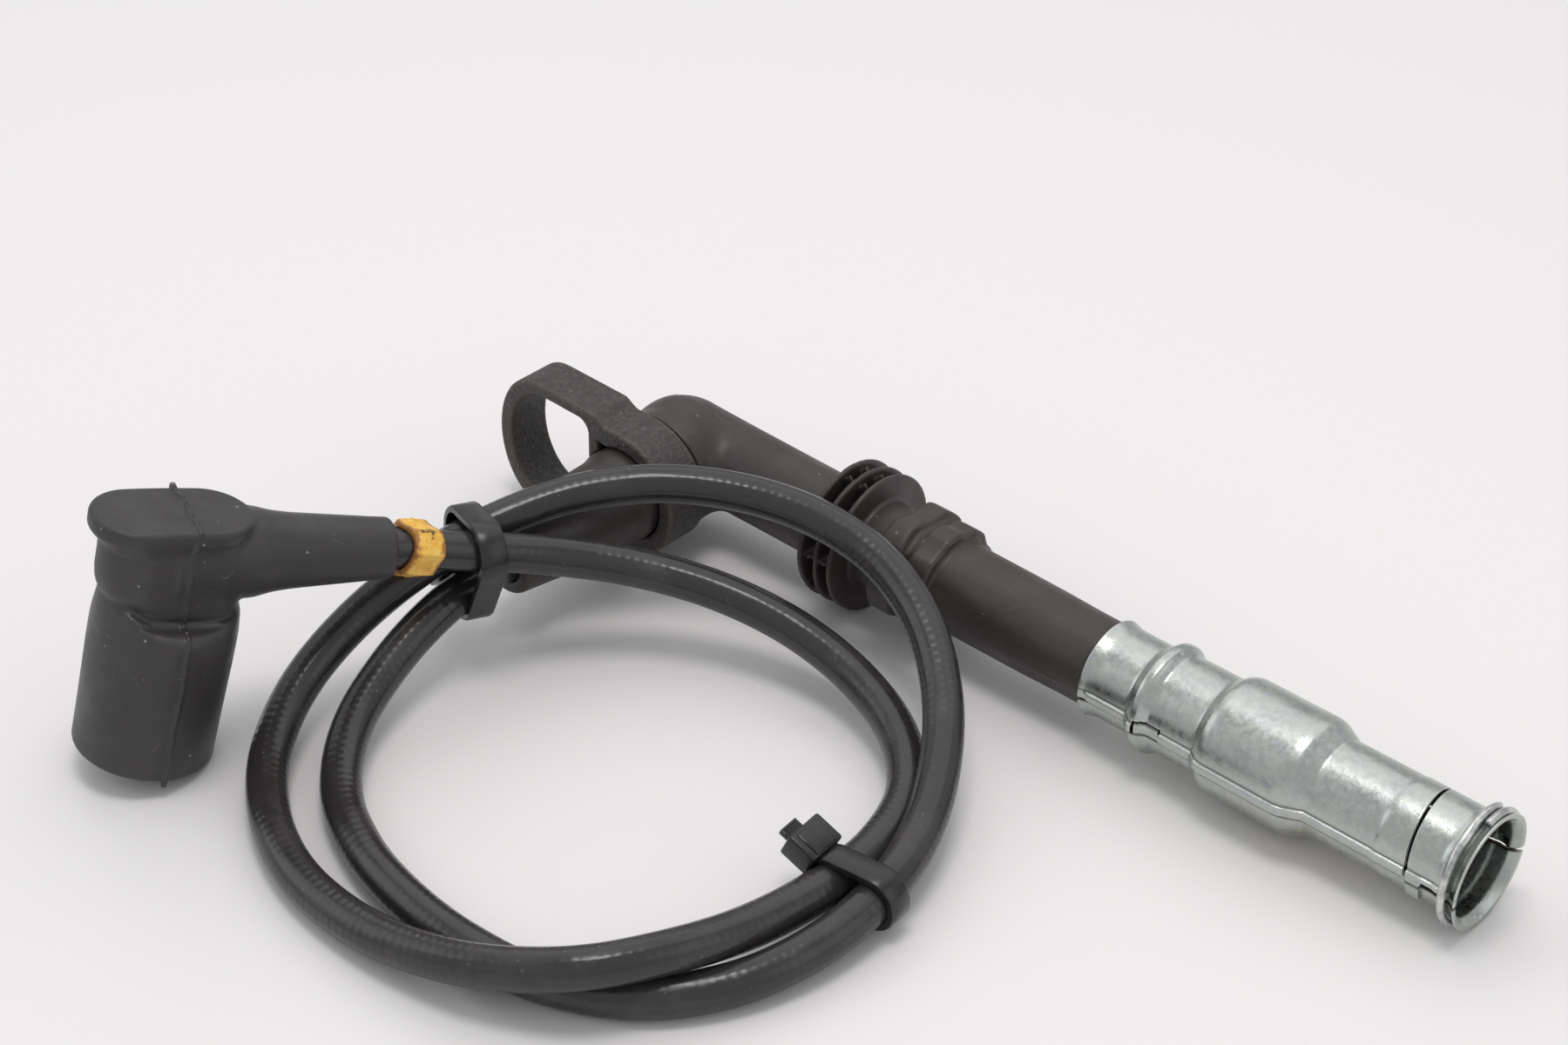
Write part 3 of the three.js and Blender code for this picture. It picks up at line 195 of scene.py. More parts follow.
def smooth_path(points, step):
    """Centripetal Catmull-Rom curve through the points, sampled evenly by arc length."""
    p = np.vstack([2 * points[0] - points[1], points, 2 * points[-1] - points[-2]])
    knots = np.concatenate([[0], np.cumsum(np.linalg.norm(np.diff(p, axis=0), axis=1) ** 0.5)])
    t = np.linspace(knots[1], knots[-2], 6000)
    i = np.clip(np.searchsorted(knots, t, side="right") - 1, 1, len(p) - 3)
    k = [knots[i + j][:, None] for j in (-1, 0, 1, 2)]
    q = [p[i + j] for j in (-1, 0, 1, 2)]
    t = t[:, None]

    def blend(a, b, ta, tb):
        return (a * (tb - t) + b * (t - ta)) / (tb - ta)
    a = [blend(q[j], q[j + 1], k[j], k[j + 1]) for j in range(3)]
    b = [blend(a[0], a[1], k[0], k[2]), blend(a[1], a[2], k[1], k[3])]
    curve = blend(b[0], b[1], k[1], k[2])
    run = np.concatenate([[0], np.cumsum(np.linalg.norm(np.diff(curve, axis=0), axis=1))])
    at = np.linspace(0, run[-1], max(2, int(round(run[-1] / step)) + 1))
    return np.stack([np.interp(at, run, curve[:, d]) for d in range(3)], -1), at


def path_frames(path, start=None):
    """Direction, and two cross directions carried along the path without twisting."""
    way = np.gradient(path, axis=0)
    way /= np.linalg.norm(way, axis=1)[:, None]
    first = np.array([0.0, 0.0, 1.0]) if start is None else np.asarray(start, float)
    across = np.empty_like(path)
    for i, w in enumerate(way):
        first = first - w * (first @ w)
        first /= np.linalg.norm(first)
        across[i] = first
    return way, across, np.cross(way, across)


def around_path(across, third, angle):
    """Unit vectors round each point of a path: cosine of the angle across, sine the third way."""
    return (np.cos(angle)[None, :, None] * across[:, None]
            + np.sin(angle)[None, :, None] * third[:, None])


def grid_mesh(name, pts, caps=True, uv=None):
    """A mesh from a grid of rings (rows, around): squares between rings, flat caps at the ends.

    In a square that closes a ring, the map runs on past 1 and doesn't jump back to 0.
    """
    rows, around = pts.shape[:2]
    here = np.arange(rows * around).reshape(rows, around)
    after = np.roll(here, -1, axis=1)
    quads = np.stack([here[:-1], after[:-1], after[1:], here[1:]], -1).reshape(-1, 4)
    faces = quads.tolist()
    if caps:
        faces += [here[0][::-1].tolist(), here[-1].tolist()]
    mesh = bpy.data.meshes.new(name)
    mesh.from_pydata((pts.reshape(-1, 3) * MM).tolist(), [], faces)
    if uv is not None:
        layer = mesh.uv_layers.new(name="run")
        loops = np.empty(len(mesh.loops), np.int32)
        mesh.loops.foreach_get("vertex_index", loops)
        values = uv.reshape(-1, 2)[loops].copy()
        turn = values[:quads.size].reshape(-1, 4, 2)[..., 0]
        jump = turn.max(1) - turn.min(1) > 0.5
        turn[:] = np.where(jump[:, None] & (turn < 0.5), turn + 1, turn)
        layer.data.foreach_set("uv", values.ravel())
    mesh.polygons.foreach_set("use_smooth", [True] * len(faces))
    mesh.update()
    return mesh


def piece(name, mesh, finish, slot, *nodes):
    """A finished piece that rides on the one body and stands for the CAD nodes it shows."""
    obj = bpy.data.objects.new(name, mesh)
    root.objects.link(obj)
    mesh.materials.append(finish)
    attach(obj, "root")
    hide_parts(*nodes)
    return obj


def feed(tree, value, socket):
    """Links a value that is a socket, and sets one that is plain. None leaves the default."""
    if isinstance(value, bpy.types.NodeSocket):
        tree.links.new(value, socket)
    elif value is not None:
        socket.default_value = value


def ramp(tree, value, stops):
    """Colour ramp node: value in, colours at their places."""
    node = tree.nodes.new("ShaderNodeValToRGB")
    node.color_ramp.elements[0].position, node.color_ramp.elements[0].color = stops[0]
    node.color_ramp.elements[1].position, node.color_ramp.elements[1].color = stops[-1]
    for place, colour in stops[1:-1]:
        node.color_ramp.elements.new(place).color = colour
    tree.links.new(value, node.inputs["Fac"])
    return node.outputs["Color"]


def noise(tree, vector, scale, detail=3.0, rough=0.55):
    node = tree.nodes.new("ShaderNodeTexNoise")
    node.inputs["Scale"].default_value = scale
    node.inputs["Detail"].default_value = detail
    node.inputs["Roughness"].default_value = rough
    tree.links.new(vector, node.inputs["Vector"])
    return node.outputs["Fac"]


def mixed(tree, factor, a, b):
    """Colour a where the factor is 0, b where it is 1. Each is a socket or a plain colour."""
    node = tree.nodes.new("ShaderNodeMix")
    node.data_type = "RGBA"
    first, second = [i for i in node.inputs if i.type == "RGBA"]
    feed(tree, factor, node.inputs["Factor"])
    feed(tree, a, first)
    feed(tree, b, second)
    return next(o for o in node.outputs if o.type == "RGBA")


def maths(tree, operation, a, b=None, clamp=False):
    node = tree.nodes.new("ShaderNodeMath")
    node.operation = operation
    node.use_clamp = clamp
    feed(tree, a, node.inputs[0])
    feed(tree, b, node.inputs[1])
    return node.outputs[0]


def product(tree, first, *others):
    """All the values multiplied together."""
    for other in others:
        first = maths(tree, "MULTIPLY", first, other)
    return first


def spread(tree, value, low, high, out_low, out_high):
    """Maps a range of values onto another, held at its ends."""
    node = tree.nodes.new("ShaderNodeMapRange")
    tree.links.new(value, node.inputs["Value"])
    ends = (("From Min", low), ("From Max", high), ("To Min", out_low), ("To Max", out_high))
    for key, v in ends:
        node.inputs[key].default_value = v
    return node.outputs["Result"]


def bump(tree, height, strength, distance, under=None):
    node = tree.nodes.new("ShaderNodeBump")
    node.inputs["Strength"].default_value = strength
    node.inputs["Distance"].default_value = distance
    tree.links.new(height, node.inputs["Height"])
    if under is not None:
        tree.links.new(under, node.inputs["Normal"])
    return node.outputs["Normal"]


def place_vector(tree):
    return tree.nodes.new("ShaderNodeTexCoord").outputs["Object"]


def parts_of(tree, vector):
    """The x, y and z of a vector."""
    split = tree.nodes.new("ShaderNodeSeparateXYZ")
    tree.links.new(vector, split.inputs["Vector"])
    return split.outputs


def run_map(tree):
    """The piece's own map: turn round it from 0 to 1, and distance along it in metres."""
    uv = tree.nodes.new("ShaderNodeUVMap")
    uv.uv_map = "run"
    return parts_of(tree, uv.outputs["UV"])


def dress(tree, shader, colour, rough, normal=None):
    """Feeds a material's colour, roughness and normal into its shader."""
    for key, value in (("Base Color", colour), ("Roughness", rough), ("Normal", normal)):
        feed(tree, value, shader.inputs[key])


def group(name, inputs, outputs):
    """An empty shader node group with its sockets, and its own nodes for what goes in and out."""
    g = bpy.data.node_groups.new(name, "ShaderNodeTree")
    for way, sockets in (("INPUT", inputs), ("OUTPUT", outputs)):
        for label, kind in sockets.items():
            g.interface.new_socket(label, in_out=way, socket_type="NodeSocket" + kind)
    into, out = g.nodes.new("NodeGroupInput"), g.nodes.new("NodeGroupOutput")
    return g, into.outputs, out.inputs


def placed_group(tree, g, *values):
    """A group in a material, its inputs fed in their order."""
    node = tree.nodes.new("ShaderNodeGroup")
    node.node_tree = g
    for socket, value in zip(node.inputs, values):
        feed(tree, value, socket)
    return node.outputs


def dust_group():
    """Fine pale specks, and a few short lint hairs, as one mask.

    Specks are the cores of small cells of a Voronoi pattern, kept only where a coarser
    noise is high. Hairs are thin contour lines of a stretched noise, kept in a few patches.
    """
    g, into, out = group("dust", {"Vector": "Vector", "Speck Scale": "Float", "Amount": "Float"},
                         {"Mask": "Float"})
    v = into["Vector"]
    cells = g.nodes.new("ShaderNodeTexVoronoi")
    g.links.new(v, cells.inputs["Vector"])
    g.links.new(into["Speck Scale"], cells.inputs["Scale"])
    core = spread(g, cells.outputs["Distance"], 0.04, 0.14, 1, 0)
    pick = g.nodes.new("ShaderNodeSeparateColor")
    g.links.new(cells.outputs["Color"], pick.inputs["Color"])
    specks = product(g, core, spread(g, pick.outputs[0], 0.80, 0.86, 0, 1))
    contour = maths(g, "ABSOLUTE", maths(g, "SUBTRACT", noise(g, v, 130, 1.0), 0.5))
    patch = spread(g, noise(g, v, 240, 0.0), 0.735, 0.755, 0, 0.8)
    hairs = product(g, spread(g, contour, 0.0005, 0.0015, 1, 0), patch)
    both = maths(g, "MAXIMUM", specks, hairs)
    g.links.new(maths(g, "MULTIPLY", both, into["Amount"], True), out["Mask"])
    return g


DUST = dust_group()
BRAID_STARTS = 7  # ribs that start round the cable
BRAID_TURN = 1900.0  # radians of pattern in a metre


def cable_material():
    m, tree, shader = material("cable_jacket")
    turn, run, _ = run_map(tree)
    obj = place_vector(tree)
    # The braid under the jacket: two sets of diagonal ribs that cross, fading here and there.
    around = maths(tree, "MULTIPLY", turn, math.pi * 2 * BRAID_STARTS)
    along = maths(tree, "MULTIPLY", run, BRAID_TURN)
    ribs = [maths(tree, "SINE", maths(tree, way, around, along)) for way in ("ADD", "SUBTRACT")]
    braid = product(tree, *ribs, spread(tree, noise(tree, obj, 120, 3.0), 0.40, 0.58, 0.3, 1))
    scuff = spread(tree, noise(tree, obj, 60, 5.0, 0.7), 0.5, 0.72, 0, 1)
    rough = maths(tree, "ADD", spread(tree, noise(tree, obj, 330, 4.0), 0.3, 0.7, 0.18, 0.26),
                  product(tree, scuff, 0.15))
    dust = placed_group(tree, DUST, obj, 620.0, 0.5)
    black = mixed(tree, scuff, (0.0265, 0.0240, 0.0240, 1), (0.044, 0.0405, 0.0400, 1))
    under = bump(tree, noise(tree, obj, 95, 2.0), 0.35, 0.0006)
    under = bump(tree, braid, 0.24, 0.00012, under)
    dress(tree, shader, mixed(tree, dust["Mask"], black, (0.22, 0.21, 0.2, 1)), rough,
          bump(tree, noise(tree, obj, 1400, 2.0), 0.05, 0.0001, under))
    return m


def cable():
    """A round tube along the route. Its radius swells and sinks by a few hundredths."""
    arm = [coil_place(np.array([d, 0.0, SIDE_ARM_Z])) for d in (10, 24.5, 35.5)]
    elbow = [plug_place(np.array([ELBOW_S, -d, 0.0])) for d in (49, 38, 20)]
    path, run = smooth_path(np.vstack([arm, CABLE_ROUTE + SHIFT, elbow]), 0.9)
    _, across, third = path_frames(path)
    angle = np.arange(28) / 28 * 2 * math.pi
    along = run[:, None]
    radius = CABLE_R + 0.03 * np.sin(along / 9.0) * np.cos(2 * angle + along / 40)
    pts = path[:, None] + radius[..., None] * around_path(across, third, angle)
    uv = np.stack(np.broadcast_arrays(angle[None, :] / (2 * math.pi), along * MM), -1)
    mesh = grid_mesh("cable_skin", pts, uv=uv)
    obj = piece("cable_skin", mesh, cable_material(), "cable_jacket", "cable")
    return obj, path, run


cable_obj, cable_path, cable_run = cable()
cable_length = float(cable_run[-1])


# --- Coil boot ---
# One injection moulding in soft charcoal rubber: a round barrel that fits over the
# coil's tower, a flat-sided head under a thin cap, and an arm that seals the cable.
# The mould's parting line stands as a torn flash down the middle.

CHUNK = 24  # grid layers worked out at a time
SLIDES = 3  # times that the points slide to the surface
SLOPE_STEP = 0.02


def skin(field, low, high, cell, warp=lambda q: q):
    """The surface where a field of signed distance is zero, as an even net of squares.

    The field is sampled on a grid. Each cell that the surface crosses gets one point at the
    mean of its edges' crossings, each crossed grid edge gets a square between its four
    cells, and the points then slide along the field's slope until they lie on the surface.
    """
    counts = [int(math.ceil((high[d] - low[d]) / cell[d])) + 1 for d in range(3)]
    axes = [low[d] + np.arange(counts[d]) * cell[d] for d in range(3)]
    slabs = []
    for start in range(0, counts[0], CHUNK):
        some = axes[0][start:start + CHUNK]
        q = np.stack(np.meshgrid(some, axes[1], axes[2], indexing="ij"), -1)
        slabs.append(field(warp(q)).astype(np.float32))
    f = np.concatenate(slabs)
    inside = f < 0
    ends = [(slice(0, -1), slice(1, None))] * 3
    total = sum(inside[i, j, k].astype(np.int8) for i in ends[0] for j in ends[1] for k in ends[2])
    active = (total > 0) & (total < 8)
    cells = np.argwhere(active)
    index = np.full(active.shape, -1, np.int64)
    index[active] = np.arange(len(cells))
    crossings = np.zeros((len(cells), 3))
    count = np.zeros(len(cells))
    for d in range(3):
        for u in (0, 1):
            for v in (0, 1):
                a = cells.copy()
                a[:, (d + 1) % 3] += u
                a[:, (d + 2) % 3] += v
                b = a.copy()
                b[:, d] += 1
                fa, fb = f[tuple(a.T)], f[tuple(b.T)]
                hit = (fa < 0) != (fb < 0)
                t = np.where(hit, fa / np.where(hit, fa - fb, 1), 0)
                spot = a.astype(float)
                spot[:, d] += t
                crossings += spot * hit[:, None]
                count += hit
    pts = warp(crossings / count[:, None] * np.array(cell) + np.array(low))
    faces = []
    for d in range(3):
        e, g = (d + 1) % 3, (d + 2) % 3
        lo, hi = [slice(None)] * 3, [slice(None)] * 3
        lo[d], hi[d] = slice(0, -1), slice(1, None)
        spots = np.argwhere(inside[tuple(lo)] != inside[tuple(hi)])
        keep = (spots[:, e] > 0) & (spots[:, g] > 0)
        keep &= (spots[:, e] < counts[e] - 1) & (spots[:, g] < counts[g] - 1)
        spots = spots[keep]
        ring = []
        for u, v in ((-1, -1), (0, -1), (0, 0), (-1, 0)):
            c = spots.copy()
            c[:, e] += u
            c[:, g] += v
            ring.append(index[tuple(c.T)])
        quad = np.stack(ring, -1)
        flip = ~inside[tuple(spots.T)]
        quad[flip] = quad[flip][:, ::-1]
        faces.append(quad)
    faces = np.concatenate(faces)
    reach = min(cell) * 0.8
    for _ in range(SLIDES):
        slope = np.stack([field(pts + step) - field(pts - step) for step in SLOPE_STEP * np.eye(3)],
                         -1) / (2 * SLOPE_STEP)
        size = np.maximum((slope ** 2).sum(-1), 0.05)
        move = -(field(pts) / size)[:, None] * slope
        far = np.linalg.norm(move, axis=1)
        move *= np.minimum(1, reach / np.maximum(far, 1e-9))[:, None]
        pts = pts + move
    return pts, faces


def skin_mesh(name, pts, faces, place):
    """The net as a mesh in the row's frame, turned the right way out."""
    a, b, c, d = (pts[faces[:, i]] for i in range(4))
    volume = (np.cross(b - a, c - a) * a).sum() + (np.cross(c - a, d - a) * a).sum()
    if volume < 0:
        faces = faces[:, ::-1]
    mesh = bpy.data.meshes.new(name)
    mesh.vertices.add(len(pts))
    mesh.vertices.foreach_set("co", (place(pts) * MM).astype(np.float32).ravel())
    mesh.loops.add(faces.size)
    mesh.loops.foreach_set("vertex_index", faces.astype(np.int32).ravel())
    mesh.polygons.add(len(faces))
    mesh.polygons.foreach_set("loop_start", np.arange(0, faces.size, 4, dtype=np.int32))
    mesh.polygons.foreach_set("use_smooth", np.ones(len(faces), bool))
    mesh.update(calc_edges=True)
    mesh.validate()
    return mesh


def join(a, b, k):
    """Smooth union of two fields: where they are within k of each other they melt together."""
    h = np.clip(0.5 + 0.5 * (b - a) / k, 0, 1)
    return b + (a - b) * h - k * h * (1 - h)


def carve(a, b, k):
    """Field a with field b taken out, the edge softened over k."""
    return -join(-a, b, k)


def within(*fields):
    """Where all the fields overlap."""
    return np.maximum.reduce(np.broadcast_arrays(*fields))


def either(*fields):
    """Where any of the fields is."""
    return np.minimum.reduce(np.broadcast_arrays(*fields))


def slab(value, low, high):
    return np.maximum(low - value, value - high)


def rounded(a, b, r):
    """Meeting of two fields with the outer edge rounded to radius r."""
    u, v = a + r, b + r
    return np.minimum(np.maximum(u, v), 0) + np.hypot(np.maximum(u, 0), np.maximum(v, 0)) - r


PROFILE_STEP = 0.05


def profile(pairs, blur):
    """Radius as a function of station: straight between the pairs, then smoothed over blur mm."""
    step = PROFILE_STEP
    s, r = np.array(pairs, float).T
    grid = np.arange(s[0] - 5, s[-1] + 5, step)
    values = np.interp(grid, s, r)
    half = max(1, int(3 * blur / step))
    kernel = np.exp(-0.5 * (np.arange(-half, half + 1) * step / blur) ** 2)
    kernel /= kernel.sum()
    values = np.convolve(np.pad(values, half, mode="edge"), kernel, mode="valid")
    return lambda at: np.interp(at, grid, values)


BOOT_TOP = 45.3
BOOT_LEDGE = 28.6
BOOT_ARM = 36.6  # end of the arm
BOOT_RIGHT = 11.5  # reach of the head towards the arm
BOOT_LEFT = 15.3  # reach of the cap away from the arm
BOOT_SIDE = 7.6  # half width of the cap

BOOT_SKIN_OFF = 0.22  # the head's sides lie this far inside the cap's
TOWER_BORE_R, TERMINAL_BORE_R, FERRULE_BORE_R, CABLE_BORE_R = 9.0, 4.3, 5.0, 3.62

boot_barrel = profile([(-2, 11.8), (0, 11.75), (8, 11.85), (20, 12.1), (24.5, 12.1), (27, 11.85),
                       (30, 11.4), (34, 11.3)], 0.8)
boot_arm = profile([(0, 7.7), (12.4, 7.65), (15.5, 6.8), (19, 6.35), (33.0, 5.4), (37, 5.2)], 0.9)
head_left = profile([(22, 11.3), (29.4, 11.3), (30.3, 11.25), (31.0, 11.7), (31.8, 12.35),
                     (32.8, 12.7), (34.5, 12.95), (37.8, 13.0), (39.4, 13.1), (40.3, 13.35),
                     (41.1, 13.9), (41.8, 14.7), (42.4, 15.1), (46, 15.2)], 0.22)


def stadium(x, y, left, right, half_width):
    """Distance in plan to a bar with round ends, from its reach to the left and to the right."""
    inside = within(-left + half_width - x, x - right + half_width, 0)
    return np.hypot(inside, y) - half_width


def boot_field(p):
    """Barrel, flat-sided head, cap and arm melted together; flash and bores after.

    Where the flat sides of the head meet the barrel's sloping shoulder they leave a straight
    ledge, crisp in the middle and melted away at its ends.
    """
    x, y, z = p[..., 0], p[..., 1], p[..., 2]
    rho = np.hypot(x, y)
    shoulder = (BOOT_LEDGE - 0.30 * np.maximum(np.abs(y) - BOOT_SIDE, 0)
                + 2.2 * np.clip((-x - 5.0) / 5, 0, 1))
    barrel = rounded(rho - boot_barrel(z), (z - shoulder) * 0.92, 1.1)
    barrel = rounded(barrel, -z, 0.75)
    waist = 0.22 * np.exp(-((z - 40.8) / 1.1) ** 2)
    head = stadium(x, y, head_left(z), BOOT_RIGHT, BOOT_SIDE - BOOT_SKIN_OFF) + waist
    head = np.maximum(head * 0.9, slab(z, 22, BOOT_TOP - 1.0))
    dome = 0.5 * np.clip(1 - ((x + 1.9) / 15) ** 2 - (y / 9) ** 2, 0, 1)
    cap = rounded(stadium(x, y, BOOT_LEFT, BOOT_RIGHT, BOOT_SIDE),
                  slab(z, BOOT_TOP - 2.9, BOOT_TOP - 0.15 + dome), 0.75)
    ledge_end = np.clip((np.abs(x - 0.5) - 6.5) / 3, 0, 1)
    body = join(barrel, head, 0.18 + 0.9 * ledge_end)
    hollow = np.hypot((np.abs(y) - BOOT_SIDE - 1.2) * 0.6, z - BOOT_LEDGE - 0.1)
    body = carve(body, hollow - 0.95 * (1 - ((x - 0.7) / 8.5) ** 2), 0.25)
    body = join(body, cap, 0.45)
    rho_arm = np.hypot(y, z - SIDE_ARM_Z)
    arm = rounded(rho_arm - boot_arm(x), slab(x, -2, BOOT_ARM), 0.6)
    body = join(body, arm, 0.9)
    # The flash: a thin wavering ridge round the middle plane.
    ragged = 0.10 * np.sin(z * 1.9 + y * 2.3) + 0.07 * np.sin(z * 4.3 + 1.0)
    across_cap = np.clip((z - 44) / 1.2, 0, 1)
    width = 0.30 + 0.10 * across_cap
    tall = 0.40 + 0.18 * across_cap + ragged * (0.5 + across_cap)
    offset = x - 0.35 - 0.12 * np.sin(z * 0.45) - 0.25 * across_cap * np.sin(y * 0.8)
    flash = np.maximum(np.abs(offset) - width, body - tall)
    torn = np.abs(y - 1.2 - 0.6 * offset) - 0.35
    flash = np.where(z > BOOT_TOP - 0.6, np.maximum(flash, -torn), flash)
    nib = np.hypot((y - BOOT_SIDE + 0.2) * 0.8, (z - BOOT_TOP + 0.3) * 0.8) - 0.85
    foot = np.hypot((y + 11.7) * 1.1, (z - 0.2) * 0.7) - 0.8
    flash = either(flash, within(either(nib, foot), np.abs(x - 0.3) - 0.4))
    lead_in = 0.5 * np.clip((1.4 - z) / 1.4, 0, 1)
    bores = either(within(rho - TOWER_BORE_R - lead_in, z - 25),
                   within(rho - TERMINAL_BORE_R, slab(z, 0, SIDE_ARM_Z)),
                   within(rho_arm - FERRULE_BORE_R, slab(x, -6, 23)),
                   within(rho_arm - CABLE_BORE_R, slab(x, 0, 60)))
    return within(join(body, flash, 0.25), -bores)


def grain_group():
    """Moulded skin: fine stipple and slow flow marks as a height, and where it is polished.

    Height is fine noise plus a little coarse noise. Polish is a slow noise kept between two
    limits, so that a worn patch is a little smoother than the rest.
    """
    g, into, out = group("moulded_skin", {"Vector": "Vector", "Grain Scale": "Float"},
                         {"Height": "Float", "Polish": "Float"})
    v = into["Vector"]
    fine = g.nodes.new("ShaderNodeTexNoise")
    fine.inputs["Detail"].default_value = 3.0
    g.links.new(v, fine.inputs["Vector"])
    g.links.new(into["Grain Scale"], fine.inputs["Scale"])
    height = maths(g, "ADD", fine.outputs["Fac"], product(g, noise(g, v, 70, 3.0), 1.6))
    g.links.new(height, out["Height"])
    g.links.new(spread(g, noise(g, v, 110, 4.0, 0.65), 0.42, 0.68, 0, 1), out["Polish"])
    return g


GRAIN = grain_group()
LINT = (0.34, 0.32, 0.29, 1)


def rubber_material(name, colour, worn, low=0.36, grain=1500.0, dust=0.8):
    """Matt rubber: grained, polished in patches, with a pale bloom, specks and lint."""
    m, tree, shader = material(name)
    obj = place_vector(tree)
    grained = placed_group(tree, GRAIN, obj, grain)
    specks = placed_group(tree, DUST, obj, 430.0, dust)
    base = mixed(tree, grained["Polish"], colour, worn)
    bloom = spread(tree, noise(tree, obj, 38, 3.0), 0.45, 0.75, 0, 0.35)
    base = mixed(tree, bloom, base, tuple(c * 1.55 for c in worn[:3]) + (1,))
    dress(tree, shader, mixed(tree, specks["Mask"], base, LINT),
          spread(tree, grained["Polish"], 0, 1, 0.50, low),
          bump(tree, grained["Height"], 0.4, 0.0001))
    shader.inputs["Specular IOR Level"].default_value = 0.48
    return m


def moulding(name, node, field, low, high, cell, place, finish, slot):
    """A piece whose surface is where its field is zero, set in its place in the row's frame."""
    pts, faces = skin(field, low, high, (cell,) * 3)
    piece(name, skin_mesh(name, pts, faces, place), finish, slot, node)


boot_rubber = rubber_material("boot_rubber", (0.0325, 0.0295, 0.0305, 1),
                              (0.038, 0.0348, 0.0352, 1))
moulding("coil_boot_skin", "coil_boot", boot_field, (-17.5, -14.5, -1.2), (38, 14.5, 48), 0.4,
         coil_place, boot_rubber, "boot_rubber")


# --- Plug boot ---
# The long rubber moulding of the plug end: a stem with three sealing fins and a lobed
# grip, an elbow, and an arm that tapers onto the cable. Its nose is pushed into the shield.

FIN_STATIONS = (-52.0, -55.4, -58.8)
FIN_R = 13.05
FIN_STEP = 3.4
WEB_ANGLES = (82, 102, 150, 196, 232, 262, 318, 4)
WEB_REACH = 12.9
KNEE = (-96.0, -4.0, 11.0)  # centre along the stem and along the arm, and radius
ARM_END = 50.0
GRIP_REAR_R, GRIP_FRONT_R, GRIP_COLLAR_R = 10.95, 10.3, 9.5
NOSE_R, SLEEVE_BORE_R, BLOCK_ROOM_R, PIN_ROOM_R = 7.25, 5.8, 3.6, 1.5
PLUG_CABLE_BORE_R, PLUG_FERRULE_ROOM_R = 3.66, 4.9

stem_radius = profile([(-100, 8.3), (-88, 8.15), (-76, 8.05), (-62, 8.0), (-60, 8.35), (-46, 8.4),
                       (-32.6, 8.3), (-31, 8.1), (-14, 8.0), (-7, 7.8), (0, 7.75)], 1.0)
arm_radius = profile([(0, 8.3), (3, 10.9), (11.0, 11.3), (11.1, 8.66), (20.7, 8.66), (20.9, 8.9),
                      (22.2, 8.8), (24, 8.3), (36, 7.9), (43, 6.95), (49, 6.2), (52, 6.0)], 0.25)


